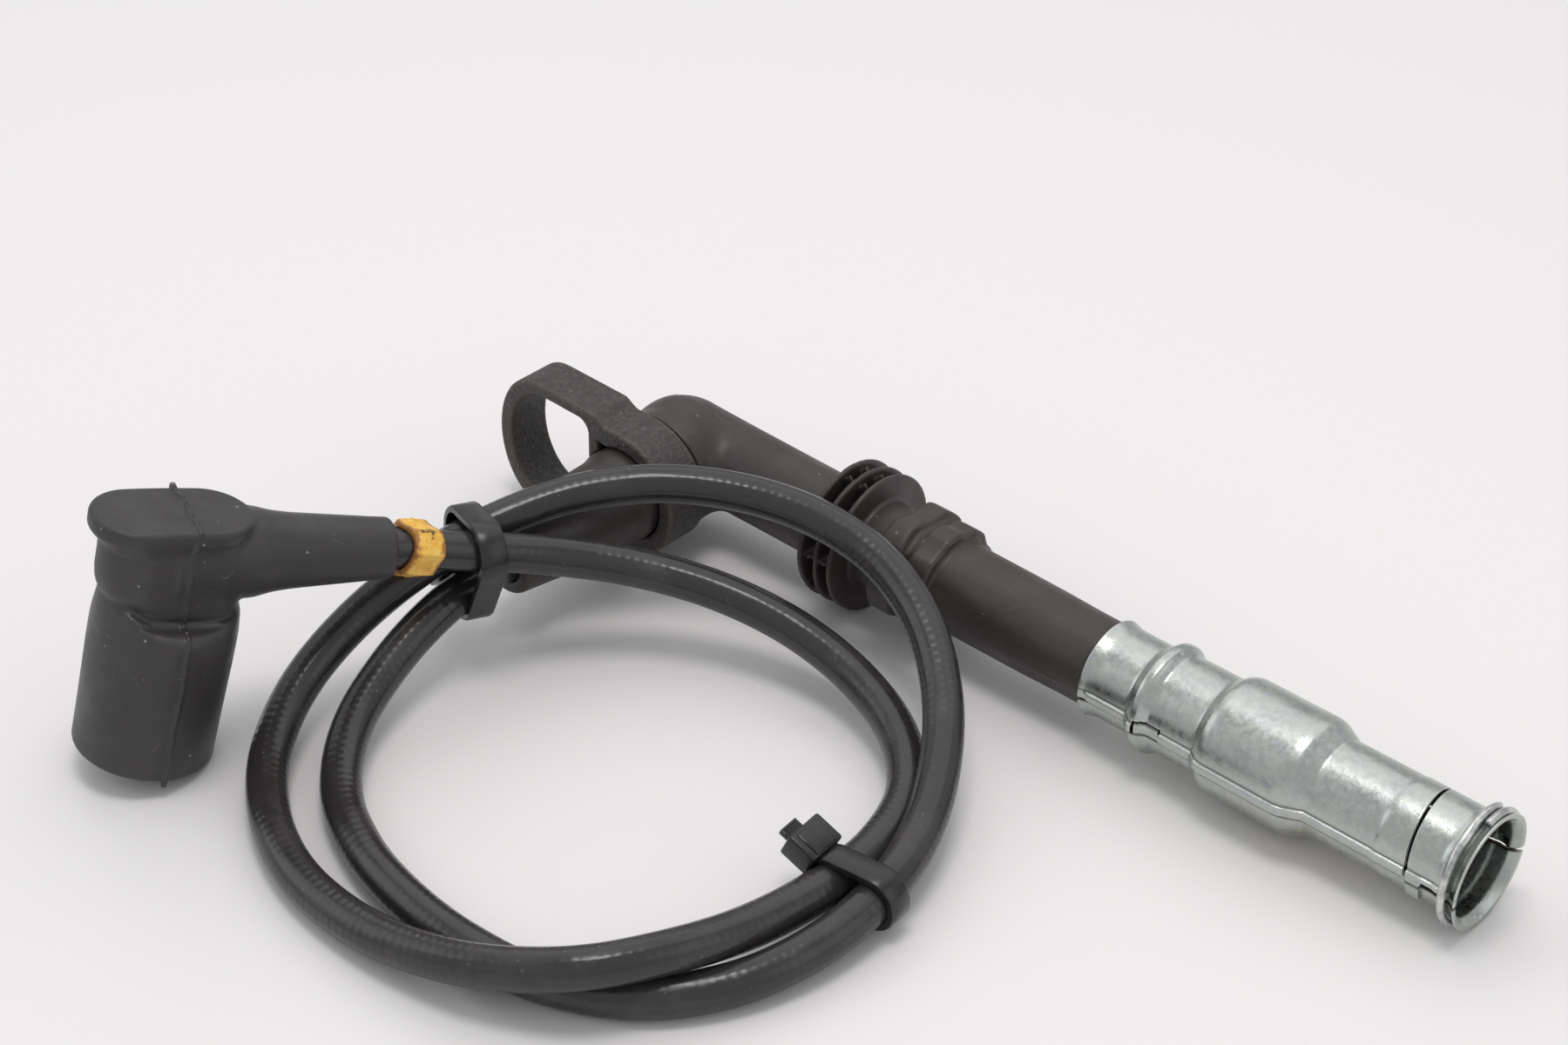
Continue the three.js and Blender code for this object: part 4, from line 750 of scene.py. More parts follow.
def plug_boot_field(p):
    """Stem and arm melted at the elbow, then fins, webs and grip; bores are taken out last."""
    x, y, z = p[..., 0], p[..., 1], p[..., 2]
    rho = np.hypot(y, z)
    phi = np.arctan2(z, -y)
    along = -y
    stem = within(rho - stem_radius(x), slab(x, ELBOW_S, -0.35))
    rho_arm = np.hypot(x - ELBOW_S, z)
    arm = rounded(rho_arm - arm_radius(along), slab(along, -1, ARM_END), 1.0)
    knee = np.sqrt((x - KNEE[0]) ** 2 + (y - KNEE[1]) ** 2 + z ** 2) - KNEE[2]
    body = join(stem, either(arm, within(knee, y + 1)), 2.6)
    body = join(body, knee, 0.5)
    for s in FIN_STATIONS:
        thin = 0.62 - 0.20 * np.clip((rho - 8.5) / 4.7, 0, 1)
        warp = 0.12 * np.sin(3 * phi + s) * np.clip((rho - 9) / 4, 0, 1)
        fin = rounded(rho - FIN_R + 0.05 * np.sin(5 * phi + s), np.abs(x - s - warp) - thin, 0.25)
        body = join(body, fin, 0.7)
    mid = np.abs(np.mod(x - FIN_STATIONS[0], FIN_STEP) - FIN_STEP / 2)
    between = slab(x, FIN_STATIONS[2], FIN_STATIONS[0])
    for k, deg in enumerate(WEB_ANGLES):
        a = math.radians(deg)
        off = -y * math.sin(a) - z * math.cos(a)
        out = -y * math.cos(a) + z * math.sin(a)
        steep = 1.3 if 70 < deg < 110 else 0.4 + 0.3 * (k % 3)
        top = out - WEB_REACH + steep * np.maximum(mid - 0.1, 0)
        body = join(body, within(np.abs(off) - 0.27, top, between, 6 - out), 0.35)
    # Grip: two rings of lumps, the rear ones taller, with hollows worn between them.
    # Each ring's lumps are flat-topped: a cosine round the ring, cut off above.
    lumps = np.minimum(np.cos(5 * phi - 11.5), 0.45) - 0.45
    small = np.minimum(np.cos(8 * phi + 0.6), 0.3) - 0.3
    rear_end = -40.2 + 0.5 * np.cos(2 * phi)
    rear = rounded(rho - GRIP_REAR_R - 0.95 * lumps, slab(x, -45.3, rear_end), 0.7)
    front = rounded(rho - GRIP_FRONT_R - 0.5 * small, slab(x, -38.7, -33.7), 0.9)
    collar = within(rho - GRIP_COLLAR_R - 0.5 * lumps, slab(x, -44.5, -34.6))
    body = join(body, rear * 0.8, 0.5)
    body = join(body, front * 0.8, 0.6)
    body = join(body, collar, 0.8)
    # Parting line along the front of the stem, and the sprue mark on the elbow.
    line = within(np.abs(z + 1.2) - 0.16, body - 0.12, y, slab(x, -33, -0.6))
    body = join(body, line, 0.12)
    sprue = np.abs(np.hypot(x + 91.0, (y + 7.9) * 1.3) - 2.0) - 0.14
    body = join(body, within(sprue, body - 0.12, -z), 0.1)
    body = either(body, within(rho - NOSE_R, slab(x, -4, 7)))
    bores = either(within(rho - SLEEVE_BORE_R, slab(x, -83.3, 20)),
                   within(rho - BLOCK_ROOM_R, slab(x, -100, -83)),
                   within(rho_arm - PLUG_CABLE_BORE_R, slab(along, 30, 80)),
                   within(rho_arm - PLUG_FERRULE_ROOM_R, slab(along, 18, 30.3)),
                   within(rho_arm - PIN_ROOM_R, slab(along, 0, 18.2)))
    return within(body, -bores)


stem_rubber = rubber_material("stem_rubber", (0.0315, 0.0262, 0.0245, 1),
                              (0.0375, 0.0315, 0.0295, 1), grain=1300.0, dust=0.5)
moulding("plug_boot_skin", "plug_boot", plug_boot_field, (-105.5, -51.5, -14.2),
         (8.2, 14.2, 14.2), 0.46, plug_place, stem_rubber, "boot_rubber")


# --- Pull ring ---
# A stiff plastic moulding: a collar clipped round the elbow's arm, with a finger loop
# beside it for pulling the connector out of its well. Its edges are worn brownish.

RING_NEAR, RING_FAR = 11.5, 20.5  # its faces, along the elbow's arm
LOOP_X, LOOP_Z, LOOP_DEEP = 22.6, 13.6, 9.6  # outside of the loop: its oval's centre and halves
HOLE_X, HOLE_Z, HOLE_DEEP = 20.5, 11.3, 8.7  # and inside
COLLAR_R, COLLAR_BORE_R = 12.05, 8.95
HOLE_CORNER_R = 2.5


def oval(x, z, centre, deep, high):
    """Rough distance to an oval whose right half is drawn out into a bar."""
    left = np.minimum(x + centre, 0)
    return (np.sqrt((left / deep) ** 2 + (z / high) ** 2) - 1) * deep


def ring_plan(x, z):
    """Plan of the ring across the arm: loop and collar outside, less the loop and the bore."""
    z = np.abs(z)
    step = (x + 7.5) * 0.5 + (z - LOOP_Z) * 0.866
    end = np.where(x < -LOOP_X, oval(x, z, LOOP_X, LOOP_DEEP, LOOP_Z), z - LOOP_Z)
    neck = within(z - 12.15, slab(x, -18, -1))
    collar = np.hypot(x, z) - COLLAR_R
    outside = join(within(end, step, x + 1), join(neck, collar, 0.3), 0.35)
    cx, cz = np.abs(x + 14.7) - (5.8 - HOLE_CORNER_R), z - (HOLE_Z - HOLE_CORNER_R)
    box = np.hypot(np.maximum(cx, 0), np.maximum(cz, 0)) + np.minimum(within(cx, cz), 0)
    hole = either(within(oval(x, z, HOLE_X, HOLE_DEEP, HOLE_Z), x + 16), box - HOLE_CORNER_R)
    pocket = within(-6.3 - x, z - 8.3 + (x + 6.3) * 0.12, 3.5 - z, x + 2.2)
    return within(outside, -either(hole, np.hypot(x, z) - COLLAR_BORE_R, pocket))


def ring_field(p):
    x, y, z = p[..., 0] - ELBOW_S, p[..., 1], p[..., 2]
    return rounded(ring_plan(x, z), slab(-y, RING_NEAR, RING_FAR), 0.55)


def ring_material():
    m, tree, shader = material("ring_plastic")
    obj = place_vector(tree)
    grained = placed_group(tree, GRAIN, obj, 1700.0)
    specks = placed_group(tree, DUST, obj, 500.0, 0.6)
    rub = spread(tree, noise(tree, obj, 900, 5.0, 0.8), 0.46, 0.70, 0, 0.8)
    edge = tree.nodes.new("ShaderNodeNewGeometry").outputs["Pointiness"]
    base = mixed(tree, rub, (0.040, 0.037, 0.0355, 1), (0.095, 0.089, 0.083, 1))
    base = mixed(tree, spread(tree, edge, 0.505, 0.56, 0, 0.75), base, (0.105, 0.083, 0.064, 1))
    dress(tree, shader, mixed(tree, specks["Mask"], base, LINT),
          spread(tree, rub, 0, 0.55, 0.60, 0.48), bump(tree, grained["Height"], 0.9, 0.0003))
    shader.inputs["Specular IOR Level"].default_value = 0.45
    return m


moulding("pull_ring_skin", "pull_ring", ring_field, (-128.5, -21.4, -14.6), (-82, -10.6, 14.6),
         0.38, plug_place, ring_material(), "ring_plastic")


# --- Shield ---
# Two half shells pressed from 0.7 mm zinc-plated steel. The upper one has a joggled hem
# along its lower edge, a relief slot near the front and a tab folded over the lower one;
# the lower one has a lug that stands in a notch. The mouth is flared by a last pressing.

SHEET = 0.7
SEAM_Z = -1.3
SEAM_HALF = 0.15
SHIELD_END = 74.4
SLOT_S, SLOT_SLANT, SLOT_HALF = 64.0, 0.014, 0.26
LUG_FROM, LUG_TO, LUG_ROOM = 12.45, 16.65, 0.35
TAB_S, TAB_HALF, TAB_LOW = 66.25, 1.25, -4.7
FLARE_FROM = 71.4
shield_radius = profile([
    (-1, 8.95), (0, 8.85), (1.2, 8.45), (2.4, 8.25), (9.6, 8.25), (10.9, 9.35), (11.5, 9.9),
    (12.6, 9.9), (13.3, 9.3), (14.2, 8.8), (23.4, 8.85), (25.2, 10.2), (26.2, 10.5), (40.6, 10.55),
    (41.8, 10.3), (45.2, 8.62), (58.3, 8.65), (58.8, 8.8), (69.7, 8.78), (70.4, 9.0),
    (72.9, 9.0), (73.6, 9.5), (74.4, 10.25), (75, 10.7)], 0.2)


def shell(s, rho, lift=0.0):
    """Distance to a skin one sheet thick whose outside follows the pressed profile."""
    r = shield_radius(s)
    slope = (shield_radius(s + 0.1) - shield_radius(s - 0.1)) / 0.2
    return (np.abs(rho - r - lift + SHEET / 2) / np.sqrt(1 + slope ** 2)) - SHEET / 2


GRID_FROM, GRID_TO = -0.8, 75.2
FINE_STATIONS = (0.3, 12.2, 16.9, 25, 42, 45, SLOT_S, 67.4, 71.0, 74.2)
station = np.linspace(GRID_FROM, GRID_TO, 2000)
crowd = 1 + sum((5.0 if at == SLOT_S else 1.6) * np.exp(-((station - at) / 0.8) ** 2)
                for at in FINE_STATIONS)
count_so_far = np.cumsum(crowd) / crowd.sum() * (GRID_TO - GRID_FROM) + GRID_FROM


def cylinder_warp(q):
    """Grid of place, angle in degrees from the front over the top, and radius, to space.

    Places are crowded together round the slot and the steps, so that these get finer squares.
    """
    a = np.radians(q[..., 1])
    return np.stack([np.interp(q[..., 0], count_so_far, station),
                     -np.cos(a) * q[..., 2], np.sin(a) * q[..., 2]], -1)


def shield_mesh(name, pts, faces):
    """The shell with a painted shade value at each point, from plain metal at 0 to painted dark
    shade at 1.

    It is 1 from 0.15 mm inside the outer face, as painted shade inside the shell, but fades towards
    the mouth's flare, where more light reaches in. It is 1 in the seam too, as a painted shadow
    under the hem, and nearly so in the crease above the hem, as painted shade.
    """
    x, y, z = pts.T
    # Painted shade inside the shell, a painted shadow in the seam, painted shade in the crease
    # above the hem.
    inside = np.clip((shield_radius(x) - np.hypot(y, z)) / 0.15, 0, 1)
    deep = inside * np.clip((73 - x) / 14, 0.12, 1)
    seam = np.clip(1.5 - np.abs(z - SEAM_Z + SEAM_HALF) / 0.28, 0, 1)
    crease = np.where(y < 0, np.clip(1 - np.abs(z - 0.72) / 0.26, 0, 1) * 0.85, 0)
    mesh = skin_mesh(name, pts, faces, plug_place)
    layer = mesh.attributes.new("shade", "FLOAT", "POINT")
    layer.data.foreach_set("value", within(deep, seam, crease).astype(np.float32))
    return mesh


def mouth_notch(x, z):
    """The gap between the halves at the mouth, which opens in a soft wave towards the rim."""
    wave = 0.18 + 0.25 * np.clip((x - 72.4) / 2.0, 0, 1) ** 1.5
    return np.maximum(FLARE_FROM - x, np.abs(z - SEAM_Z) - wave)


def upper_field(p):
    x, y, z = p[..., 0], p[..., 1], p[..., 2]
    rho = np.hypot(y, z)
    angle = np.degrees(np.arctan2(z, -y))
    inner = np.clip((0.6 - z) / 0.25, 0, 1) * np.clip((rho - 5) * 9, 0, 1)
    hem = 0.5 * inner * np.clip((72.5 - x) / 1.0, 0, 1) * np.clip((x - 1.0) / 1.2, 0, 1)
    field = within(shell(x, rho, hem), slab(x, 0, SHIELD_END), SEAM_Z + SEAM_HALF - z)
    # Relief slot, a little aslant, from low on the front to high on the back.
    centre = SLOT_S + SLOT_SLANT * (40 - angle)
    slot = within(np.abs(x - centre) - SLOT_HALF, angle - 149, -6 - angle - 50 * (z > 0), 5 - rho)
    field = carve(field, slot, 0.06)
    # Notch for the lower shell's lug, the window behind the tab, the gap at the mouth.
    front = np.where(y < 0, 0.0, 99.0)
    notch = within(slab(x, LUG_FROM - LUG_ROOM, LUG_TO + LUG_ROOM), z - 1.15) + front
    window = within(slab(x, 67.7, 70.9), z + 0.35) + front
    field = within(field, -either(notch, window, mouth_notch(x, z)))
    # Tab: a sheet a little outside the shell, bent outwards over the lower one.
    fold = np.clip((0.6 - z) / 1.2, 0, 1)
    tab = np.abs(rho - 8.88 - fold * 0.62 + SHEET / 2) - SHEET / 2
    past_side = np.maximum(np.abs(x - TAB_S) - TAB_HALF + 0.4, 0)
    corner = np.hypot(past_side, np.maximum(TAB_LOW + 0.4 - z, 0)) - 0.4
    return join(field, within(tab, corner, z - 0.9) + front, 0.12)


def lower_field(p):
    x, y, z = p[..., 0], p[..., 1], p[..., 2]
    rho = np.hypot(y, z)
    lug = within(slab(x, LUG_FROM, LUG_TO), z - 0.85) + np.where(y < 0, 0.0, 99.0)
    under = either(z - SEAM_Z + SEAM_HALF, lug)
    return within(shell(x, rho), slab(x, 0, SHIELD_END), under, -mouth_notch(x, z))


def zinc_material():
    m, tree, shader = material("zinc_steel", Metallic=1.0)
    obj = place_vector(tree)
    cloud = noise(tree, obj, 210, 4.0, 0.6)
    tint = ramp(tree, cloud, [(0.30, (0.38, 0.42, 0.41, 1)), (0.44, (0.42, 0.465, 0.45, 1)),
                              (0.56, (0.46, 0.48, 0.435, 1)), (0.68, (0.41, 0.46, 0.47, 1))])
    mottle = noise(tree, obj, 900, 4.0, 0.7)
    tint = mixed(tree, spread(tree, mottle, 0.44, 0.58, 0, 0.4), tint, (0.56, 0.585, 0.55, 1))
    pits = spread(tree, noise(tree, obj, 2300, 2.0), 0.68, 0.74, 0, 0.4)
    tint = mixed(tree, pits, tint, (0.30, 0.30, 0.27, 1))
    # Yellow stain low on the bulge and along the seam.
    along, _, height = parts_of(tree, obj)
    stain = product(tree, spread(tree, height, 0.0035, 0.0105, 1, 0),
                    spread(tree, along, 0.052, 0.070, 0, 1),
                    spread(tree, along, 0.078, 0.088, 1, 0),
                    spread(tree, noise(tree, obj, 260, 3.0), 0.40, 0.62, 0, 0.8))
    tint = mixed(tree, stain, tint, (0.56, 0.46, 0.25, 1))
    edge = tree.nodes.new("ShaderNodeNewGeometry").outputs["Pointiness"]
    tint = mixed(tree, spread(tree, edge, 0.51, 0.58, 0, 0.6), tint, (0.74, 0.76, 0.73, 1))
    # Painted shade: inside the shell, in its seam and on its cut edges the colour is made dull and
    # dark to stand in for shadow.
    shade = tree.nodes.new("ShaderNodeAttribute")
    shade.attribute_name = "shade"
    tint = mixed(tree, shade.outputs["Fac"], tint, (0.10, 0.095, 0.085, 1))
    rough = maths(tree, "ADD", spread(tree, mottle, 0.38, 0.62, 0.24, 0.34),
                  spread(tree, noise(tree, obj, 140, 4.0), 0.35, 0.7, -0.04, 0.08))
    soft = bump(tree, noise(tree, obj, 160, 2.0), 0.04, 0.0006)
    dress(tree, shader, tint, rough, bump(tree, mottle, 0.40, 0.0001, soft))
    return m


zinc = zinc_material()
for half, field, turns in (("shield_upper", upper_field, (-32, 193)),
                           ("shield_lower", lower_field, (166, 374))):
    shell_pts, shell_faces = skin(field, (GRID_FROM, turns[0], 6.6), (GRID_TO, turns[1], 12.0),
                                  (0.30, 1.5, 0.16), cylinder_warp)
    piece(half + "_skin", shield_mesh(half + "_skin", shell_pts, shell_faces),
          zinc, "zinc_steel", half)


# --- Snap ring ---
# A turn and a bit of drawn spring wire that clamps the half shells together behind the
# flared mouth. Its cropped ends lie side by side at the top.

WIRE_START_DEG, WIRE_TURN_DEG = 83, 398
WIRE_ROWS, WIRE_SIDES = 320, 20


def snap_ring():
    """A helix of one turn and 38 degrees in a round section, a little thinner at its ends."""
    share = np.linspace(0, 1, WIRE_ROWS)
    a = np.radians(WIRE_START_DEG + share * WIRE_TURN_DEG)
    s = WIRE_S - share * WIRE_PITCH * WIRE_TURN_DEG / 360
    path = np.stack([s, -np.cos(a) * WIRE_LOOP_R, np.sin(a) * WIRE_LOOP_R], -1)
    _, across, third = path_frames(path, (1, 0, 0))
    ring = around_path(across, third, np.linspace(0, 2 * math.pi, WIRE_SIDES, endpoint=False))
    radius = np.full((WIRE_ROWS, 1, 1), WIRE_R)
    radius[0] = radius[-1] = WIRE_R * 0.8
    return grid_mesh("snap_ring", plug_place(path[:, None] + ring * radius))


def clouded_material(name, metallic, scale, detail, tones, dull, ends=(0.35, 0.65)):
    """Two tones in soft clouds, one shinier than the other."""
    m, tree, shader = material(name, Metallic=metallic)
    obj = place_vector(tree)
    cloud = noise(tree, obj, scale, detail)
    dress(tree, shader, ramp(tree, cloud, list(zip(ends, tones))),
          spread(tree, cloud, 0.3, 0.7, *dull))
    return m, tree, shader, obj


wire_steel = clouded_material("spring_steel", 1.0, 700, 3.0,
                              ((0.42, 0.43, 0.42, 1), (0.66, 0.67, 0.66, 1)), (0.20, 0.36))[0]
piece("snap_ring", snap_ring(), wire_steel, "spring_steel", "shield_snap_ring")


# --- Marker ---
# A yellow plastic strip folded round the cable as a cylinder mark. It is pinched flat
# in facets, its edges have gone brown and its printed digit is nearly rubbed off.

def along_cable(distance):
    """Point, direction and an upward cross direction of the cable at a distance along it."""
    i = int(round(distance / cable_length * (len(cable_path) - 1)))
    way = cable_path[i + 3] - cable_path[i - 3]
    way /= np.linalg.norm(way)
    up = np.array([0.0, 0.0, 1.0]) - way * way[2]
    up /= np.linalg.norm(up)
    return cable_path[i], way, up, np.cross(way, up)


MARKER_AT = 31.9
MARKER_WIDE = 5.4
MARKER_FLATS = 7
MARKER_POINTS = 126  # round it, so that each flat gets as many
MARKER_OUT, MARKER_IN = 1.05, 0.12  # its faces, outwards from the cable
PEAK_AT = 1.1  # radians round from the top to its chevron's peak
DIGIT_AT = 0.06  # turn round the cable from its top, towards the camera's side


def marker():
    """A closed ring wall: the outer radius follows seven flats, with one fold across them."""
    centre, way, up, third = along_cable(MARKER_AT)
    a = np.arange(MARKER_POINTS) / MARKER_POINTS * 2 * math.pi
    sector = np.mod(a - 0.35, 2 * math.pi / MARKER_FLATS) - math.pi / MARKER_FLATS
    flat = (CABLE_R + MARKER_OUT) / np.cos(sector) * (1 - 0.02 * np.cos(3 * a))
    rows = np.array([-0.5, -0.47, -0.3, -0.1, 0.0, 0.1, 0.3, 0.47, 0.5])
    fold = 0.16 * np.exp(-(rows / 0.05) ** 2)
    edge = 0.25 * np.clip((np.abs(rows) - 0.44) / 0.06, 0, 1)
    outer = flat[None, :] - edge[:, None] + fold[:, None] * (1 + 0.5 * np.cos(2 * a))[None, :]
    inner = np.full((1, MARKER_POINTS), CABLE_R + MARKER_IN)
    radius = np.vstack([inner, outer, inner])
    place = np.concatenate([[-0.5], rows, [0.5]]) * MARKER_WIDE
    facing = np.clip(np.cos(a - PEAK_AT), 0, 1)
    skew = 1.5 * facing ** 1.5 - 0.5 + 0.15 * np.sin(3 * a)
    ring = around_path(up[None], third[None], a)
    pts = centre + radius[..., None] * ring + (place[:, None] + skew)[..., None] * way
    pts = np.vstack([pts, pts[:1]])
    uv = np.stack(np.broadcast_arrays(a / (2 * math.pi), (place / MARKER_WIDE + 0.5)[:, None]), -1)
    uv = np.vstack([uv, uv[:1]])
    return grid_mesh("marker", pts, caps=False, uv=uv)


def marker_material():
    m, tree, shader = material("marker_plastic")
    obj = place_vector(tree)
    turn, width, _ = run_map(tree)

    def away(value, middle):
        return maths(tree, "ABSOLUTE", maths(tree, "SUBTRACT", value, middle))
    off = away(width, 0.5)
    ragged = spread(tree, noise(tree, obj, 700, 4.0), 0.3, 0.7, -0.09, 0.09)
    rim = spread(tree, maths(tree, "ADD", off, ragged), 0.36, 0.47, 0, 0.9)
    cloud = noise(tree, obj, 420, 4.0, 0.65)
    base = ramp(tree, cloud, [(0.34, (0.62, 0.30, 0.035, 1)), (0.5, (0.80, 0.44, 0.05, 1)),
                              (0.66, (0.86, 0.56, 0.13, 1))])
    base = mixed(tree, rim, base, (0.30, 0.115, 0.03, 1))
    grime = spread(tree, noise(tree, obj, 900, 5.0, 0.7), 0.60, 0.68, 0, 0.85)
    base = mixed(tree, grime, base, (0.10, 0.05, 0.02, 1))
    # A printed 1, half rubbed off: a bar along the strip's width and a short flag beside it.
    left = away(turn, DIGIT_AT)
    bar = product(tree, spread(tree, left, 0.008, 0.013, 1, 0), spread(tree, off, 0.24, 0.28, 1, 0))
    lean = maths(tree, "ADD", maths(tree, "SUBTRACT", width, 0.66), product(tree, left, 2.2))
    flag = product(tree, spread(tree, away(lean, 0), 0.03, 0.06, 1, 0),
                   spread(tree, left, 0.045, 0.055, 1, 0))
    rubbed = spread(tree, noise(tree, obj, 1600, 4.0), 0.42, 0.52, 0.1, 0.9)
    digit = product(tree, maths(tree, "MAXIMUM", bar, flag), rubbed)
    dress(tree, shader, mixed(tree, digit, base, (0.06, 0.04, 0.03, 1)),
          spread(tree, cloud, 0.3, 0.7, 0.38, 0.55),
          bump(tree, noise(tree, obj, 800, 3.0), 0.4, 0.0002))
    return m


marker_obj = piece("marker_strip", marker(), marker_material(), "marker_plastic", "marker_band")


# --- Cable ties ---
# Black nylon ties: a thin band pulled tight round the strands, ribbed inside, a square
# head with its pawl window, and the tail cut off short.

TIE_WIDE = 4.8
TIE_THICK = 1.2
TIE_CLEAR = 0.12  # between the band and the strands
HEAD_DEEP = 5.6


def hull(points):
    """Convex outline of points in a plane, counter-clockwise."""
    pts = sorted(map(tuple, points))

    def chain(seq):
        out = []
        for p in seq:
            while len(out) > 1 and ((out[-1][0] - out[-2][0]) * (p[1] - out[-2][1])
                                    - (out[-1][1] - out[-2][1]) * (p[0] - out[-2][0])) <= 0:
                out.pop()
            out.append(p)
        return out
    low, high = chain(pts), chain(pts[::-1])
    return np.array(low[:-1] + high[:-1])


def belt(spots, radius):
    """A belt round circles of one radius, resampled evenly by length from its lowest angle."""
    a = np.linspace(0, 2 * math.pi, 48, endpoint=False)
    ring = np.stack([np.cos(a), np.sin(a)], -1) * radius
    outline = hull((np.asarray(spots)[:, None] + ring[None]).reshape(-1, 2))
    closed = np.vstack([outline, outline[:1]])
    run = np.concatenate([[0], np.cumsum(np.linalg.norm(np.diff(closed, axis=0), axis=1))])
    at = np.linspace(0, run[-1], 160, endpoint=False)
    return np.stack([np.interp(at, run, closed[:, d]) for d in range(2)], -1)


nylon, nylon_tree, nylon_shader, nylon_place = clouded_material(
    "tie_nylon", 0.0, 300, 3.0, ((0.0115, 0.0115, 0.012, 1), (0.018, 0.018, 0.0185, 1)),
    (0.22, 0.34), (0.3, 0.7))
nylon_tree.links.new(bump(nylon_tree, noise(nylon_tree, nylon_place, 500, 2.0), 0.2, 0.0002),
                     nylon_shader.inputs["Normal"])


def tie_band(name, middle, normal, ranges, head_deg):
    """Belt walls round where the strands cross the tie's plane, and where its head goes.

    Each strand's circle is drawn twice, where it enters and where it leaves the band. The
    head's frame is outwards, along the band and across it, from the band's outside.
    """
    crossings = []
    for low, high in ranges:
        i0, i1 = (int(v * (len(cable_path) - 1)) for v in (low, high))
        near = i0 + int(np.argmin(np.linalg.norm(cable_path[i0:i1] - middle, axis=1)))
        crossings.append((cable_path[near], cable_path[near + 2] - cable_path[near - 2]))
    n = np.asarray(normal, float)
    n /= np.linalg.norm(n)
    centre = np.mean([p for p, _ in crossings], axis=0)
    right = np.cross([0, 0, 1], n)
    right /= np.linalg.norm(right)
    up = np.cross(n, right)
    spots, slants = [], []
    for p, w in crossings:
        w = w / np.linalg.norm(w)
        slants.append(abs(w @ n))
        for half in (-0.4, 0.4):
            q = p + w * (((centre - p) @ n + half * TIE_WIDE) / (w @ n)) - centre
            spots.append((q @ right, q @ up))
    inner = CABLE_R / min(slants) + TIE_CLEAR
    rows = [(-0.5, 0.0), (-0.5, 0.8), (-0.42, 1.0), (0.42, 1.0), (0.5, 0.8), (0.5, 0.0)]
    loops = []
    for across, out in rows + rows[:1]:
        flat = belt(spots, inner + out * TIE_THICK)
        start = np.argmin(np.abs(np.arctan2(flat[:, 1], flat[:, 0])))
        flat = np.roll(flat, -start, axis=0)
        loops.append(centre + flat[:, :1] * right + flat[:, 1:] * up + n * across * TIE_WIDE)
    band = grid_mesh(name + "_band", np.stack(loops), caps=False)
    c, s = math.cos(math.radians(head_deg)), math.sin(math.radians(head_deg))
    out_way = right * c + up * s
    reach = max(x * c + y * s for x, y in spots) + inner
    return band, centre + out_way * reach, np.stack([out_way, up * c - right * s, n])


def block_mesh(name, centre, axes, half, bevel, segments):
    """A box whose edges are rounded by the Bevel modifier, applied as finished geometry."""
    corners = np.array([[i, j, k] for i in (-1, 1) for j in (-1, 1) for k in (-1, 1)], float)
    pts = centre + (corners * half) @ axes
    faces = [(0, 1, 3, 2), (4, 6, 7, 5), (0, 4, 5, 1), (2, 3, 7, 6), (0, 2, 6, 4), (1, 5, 7, 3)]
    if np.linalg.det(axes) < 0:
        faces = [f[::-1] for f in faces]
    mesh = bpy.data.meshes.new(name)
    mesh.from_pydata((pts * MM).tolist(), [], faces)
    obj = bpy.data.objects.new(name, mesh)
    root.objects.link(obj)
    mod = obj.modifiers.new("edges", "BEVEL")
    mod.width = bevel * MM
    mod.segments = segments
    finished = obj.evaluated_get(bpy.context.evaluated_depsgraph_get())
    done = bpy.data.meshes.new_from_object(finished)
    bpy.data.objects.remove(obj)
    return done


def merged(name, meshes):
    """Several finished meshes as one, their faces kept as they are."""
    verts, faces, base = [], [], 0
    for m in meshes:
        co = np.empty(len(m.vertices) * 3, np.float32)
        m.vertices.foreach_get("co", co)
        verts.append(co.reshape(-1, 3))
        faces += [[base + v for v in p.vertices] for p in m.polygons]
        base += len(m.vertices)
    mesh = bpy.data.meshes.new(name)
    mesh.from_pydata(np.concatenate(verts).tolist(), [], faces)
    mesh.polygons.foreach_set("use_smooth", [True] * len(faces))
    mesh.set_sharp_from_angle(angle=math.radians(38))
    return mesh


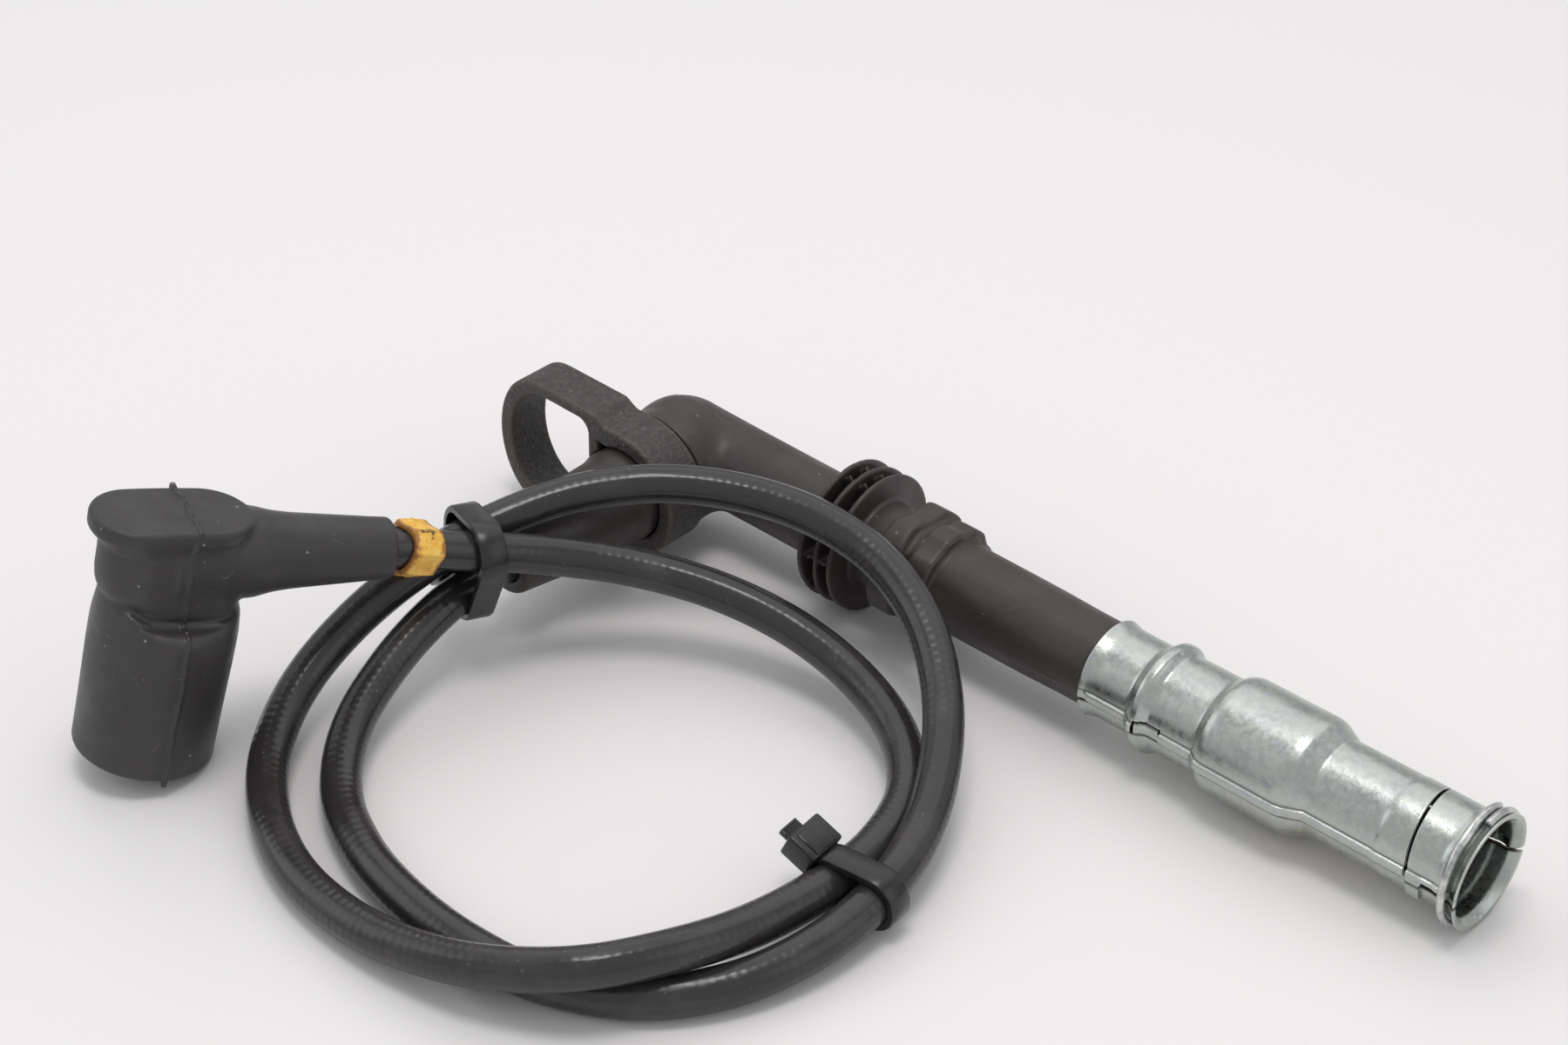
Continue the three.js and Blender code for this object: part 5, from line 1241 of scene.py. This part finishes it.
def tie(name, node, middle, normal, ranges, head_deg):
    """Band, head, pawl ledge, cut tail and the ribs on the tail, as one piece."""
    band, foot, axes = tie_band(name, middle + SHIFT, normal, ranges, head_deg)
    blocks = [("_head", HEAD_DEEP / 2 - 0.1, 0, (HEAD_DEEP / 2, 2.3, 3.8), 0.45, 3),
              ("_ledge", HEAD_DEEP * 0.45, 0.5, (HEAD_DEEP * 0.4, 2.1, 2.6), 0.3, 2),
              ("_tail", HEAD_DEEP + 0.5, -0.8, (1.5, 0.55, 1.9), 0.12, 2)]
    blocks += [("_rib", HEAD_DEEP + 0.35 + 0.42 * i, -0.2, (0.13, 0.16, 1.5), 0.05, 2)
               for i in range(4)]
    parts = [block_mesh(name + ending, foot + axes[0] * out + axes[1] * along, axes, *shape)
             for ending, out, along, *shape in blocks]
    return piece(name, merged(name, [band] + parts), nylon, "tie_nylon", node)


rear_tie = tie("tie_rear", "cable_tie_rear", np.array([-94.0, -57.5, 20.5]), (0.35, 0.93, -0.1),
               [(0.03, 0.15), (0.4, 0.6), (0.9, 0.98)], -40)
front_tie = tie("tie_front", "cable_tie_front", np.array([1.0, -65, 5.8]), (-0.1, 0.99, 0),
                [(0.1, 0.4), (0.6, 0.8)], 25)


# --- Inside the two ends ---
# What shows deep in the open mouths: the insulator's bore, the lipped seal and the brass
# contacts with their wire clips. They keep their solids and get their own finishes.

brass = clouded_material("contact_brass", 1.0, 500, 4.0,
                         ((0.50, 0.33, 0.13, 1), (0.72, 0.52, 0.24, 1)), (0.24, 0.40))[0]
ceramic = clouded_material("resistor_body", 0.0, 900, 4.0,
                           ((0.16, 0.11, 0.07, 1), (0.25, 0.18, 0.12, 1)), (0.5, 0.7))[0]
plastic = rubber_material("insulator_plastic", (0.05, 0.044, 0.038, 1),
                          (0.062, 0.054, 0.046, 1), low=0.35, dust=0.3)
FINISHES = {
    "insulator_body": plastic, "plug_seal": boot_rubber, "suppression_resistor": ceramic,
    "plug_contact_clip": wire_steel, "contact_spring": wire_steel,
    "coil_contact_clip": wire_steel, "plug_contact": brass, "elbow_contact": brass,
    "plug_cable_ferrule": brass, "coil_terminal": brass,
}
for name, finish in FINISHES.items():
    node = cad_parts[name]
    node.data.materials.clear()
    node.data.materials.append(finish)
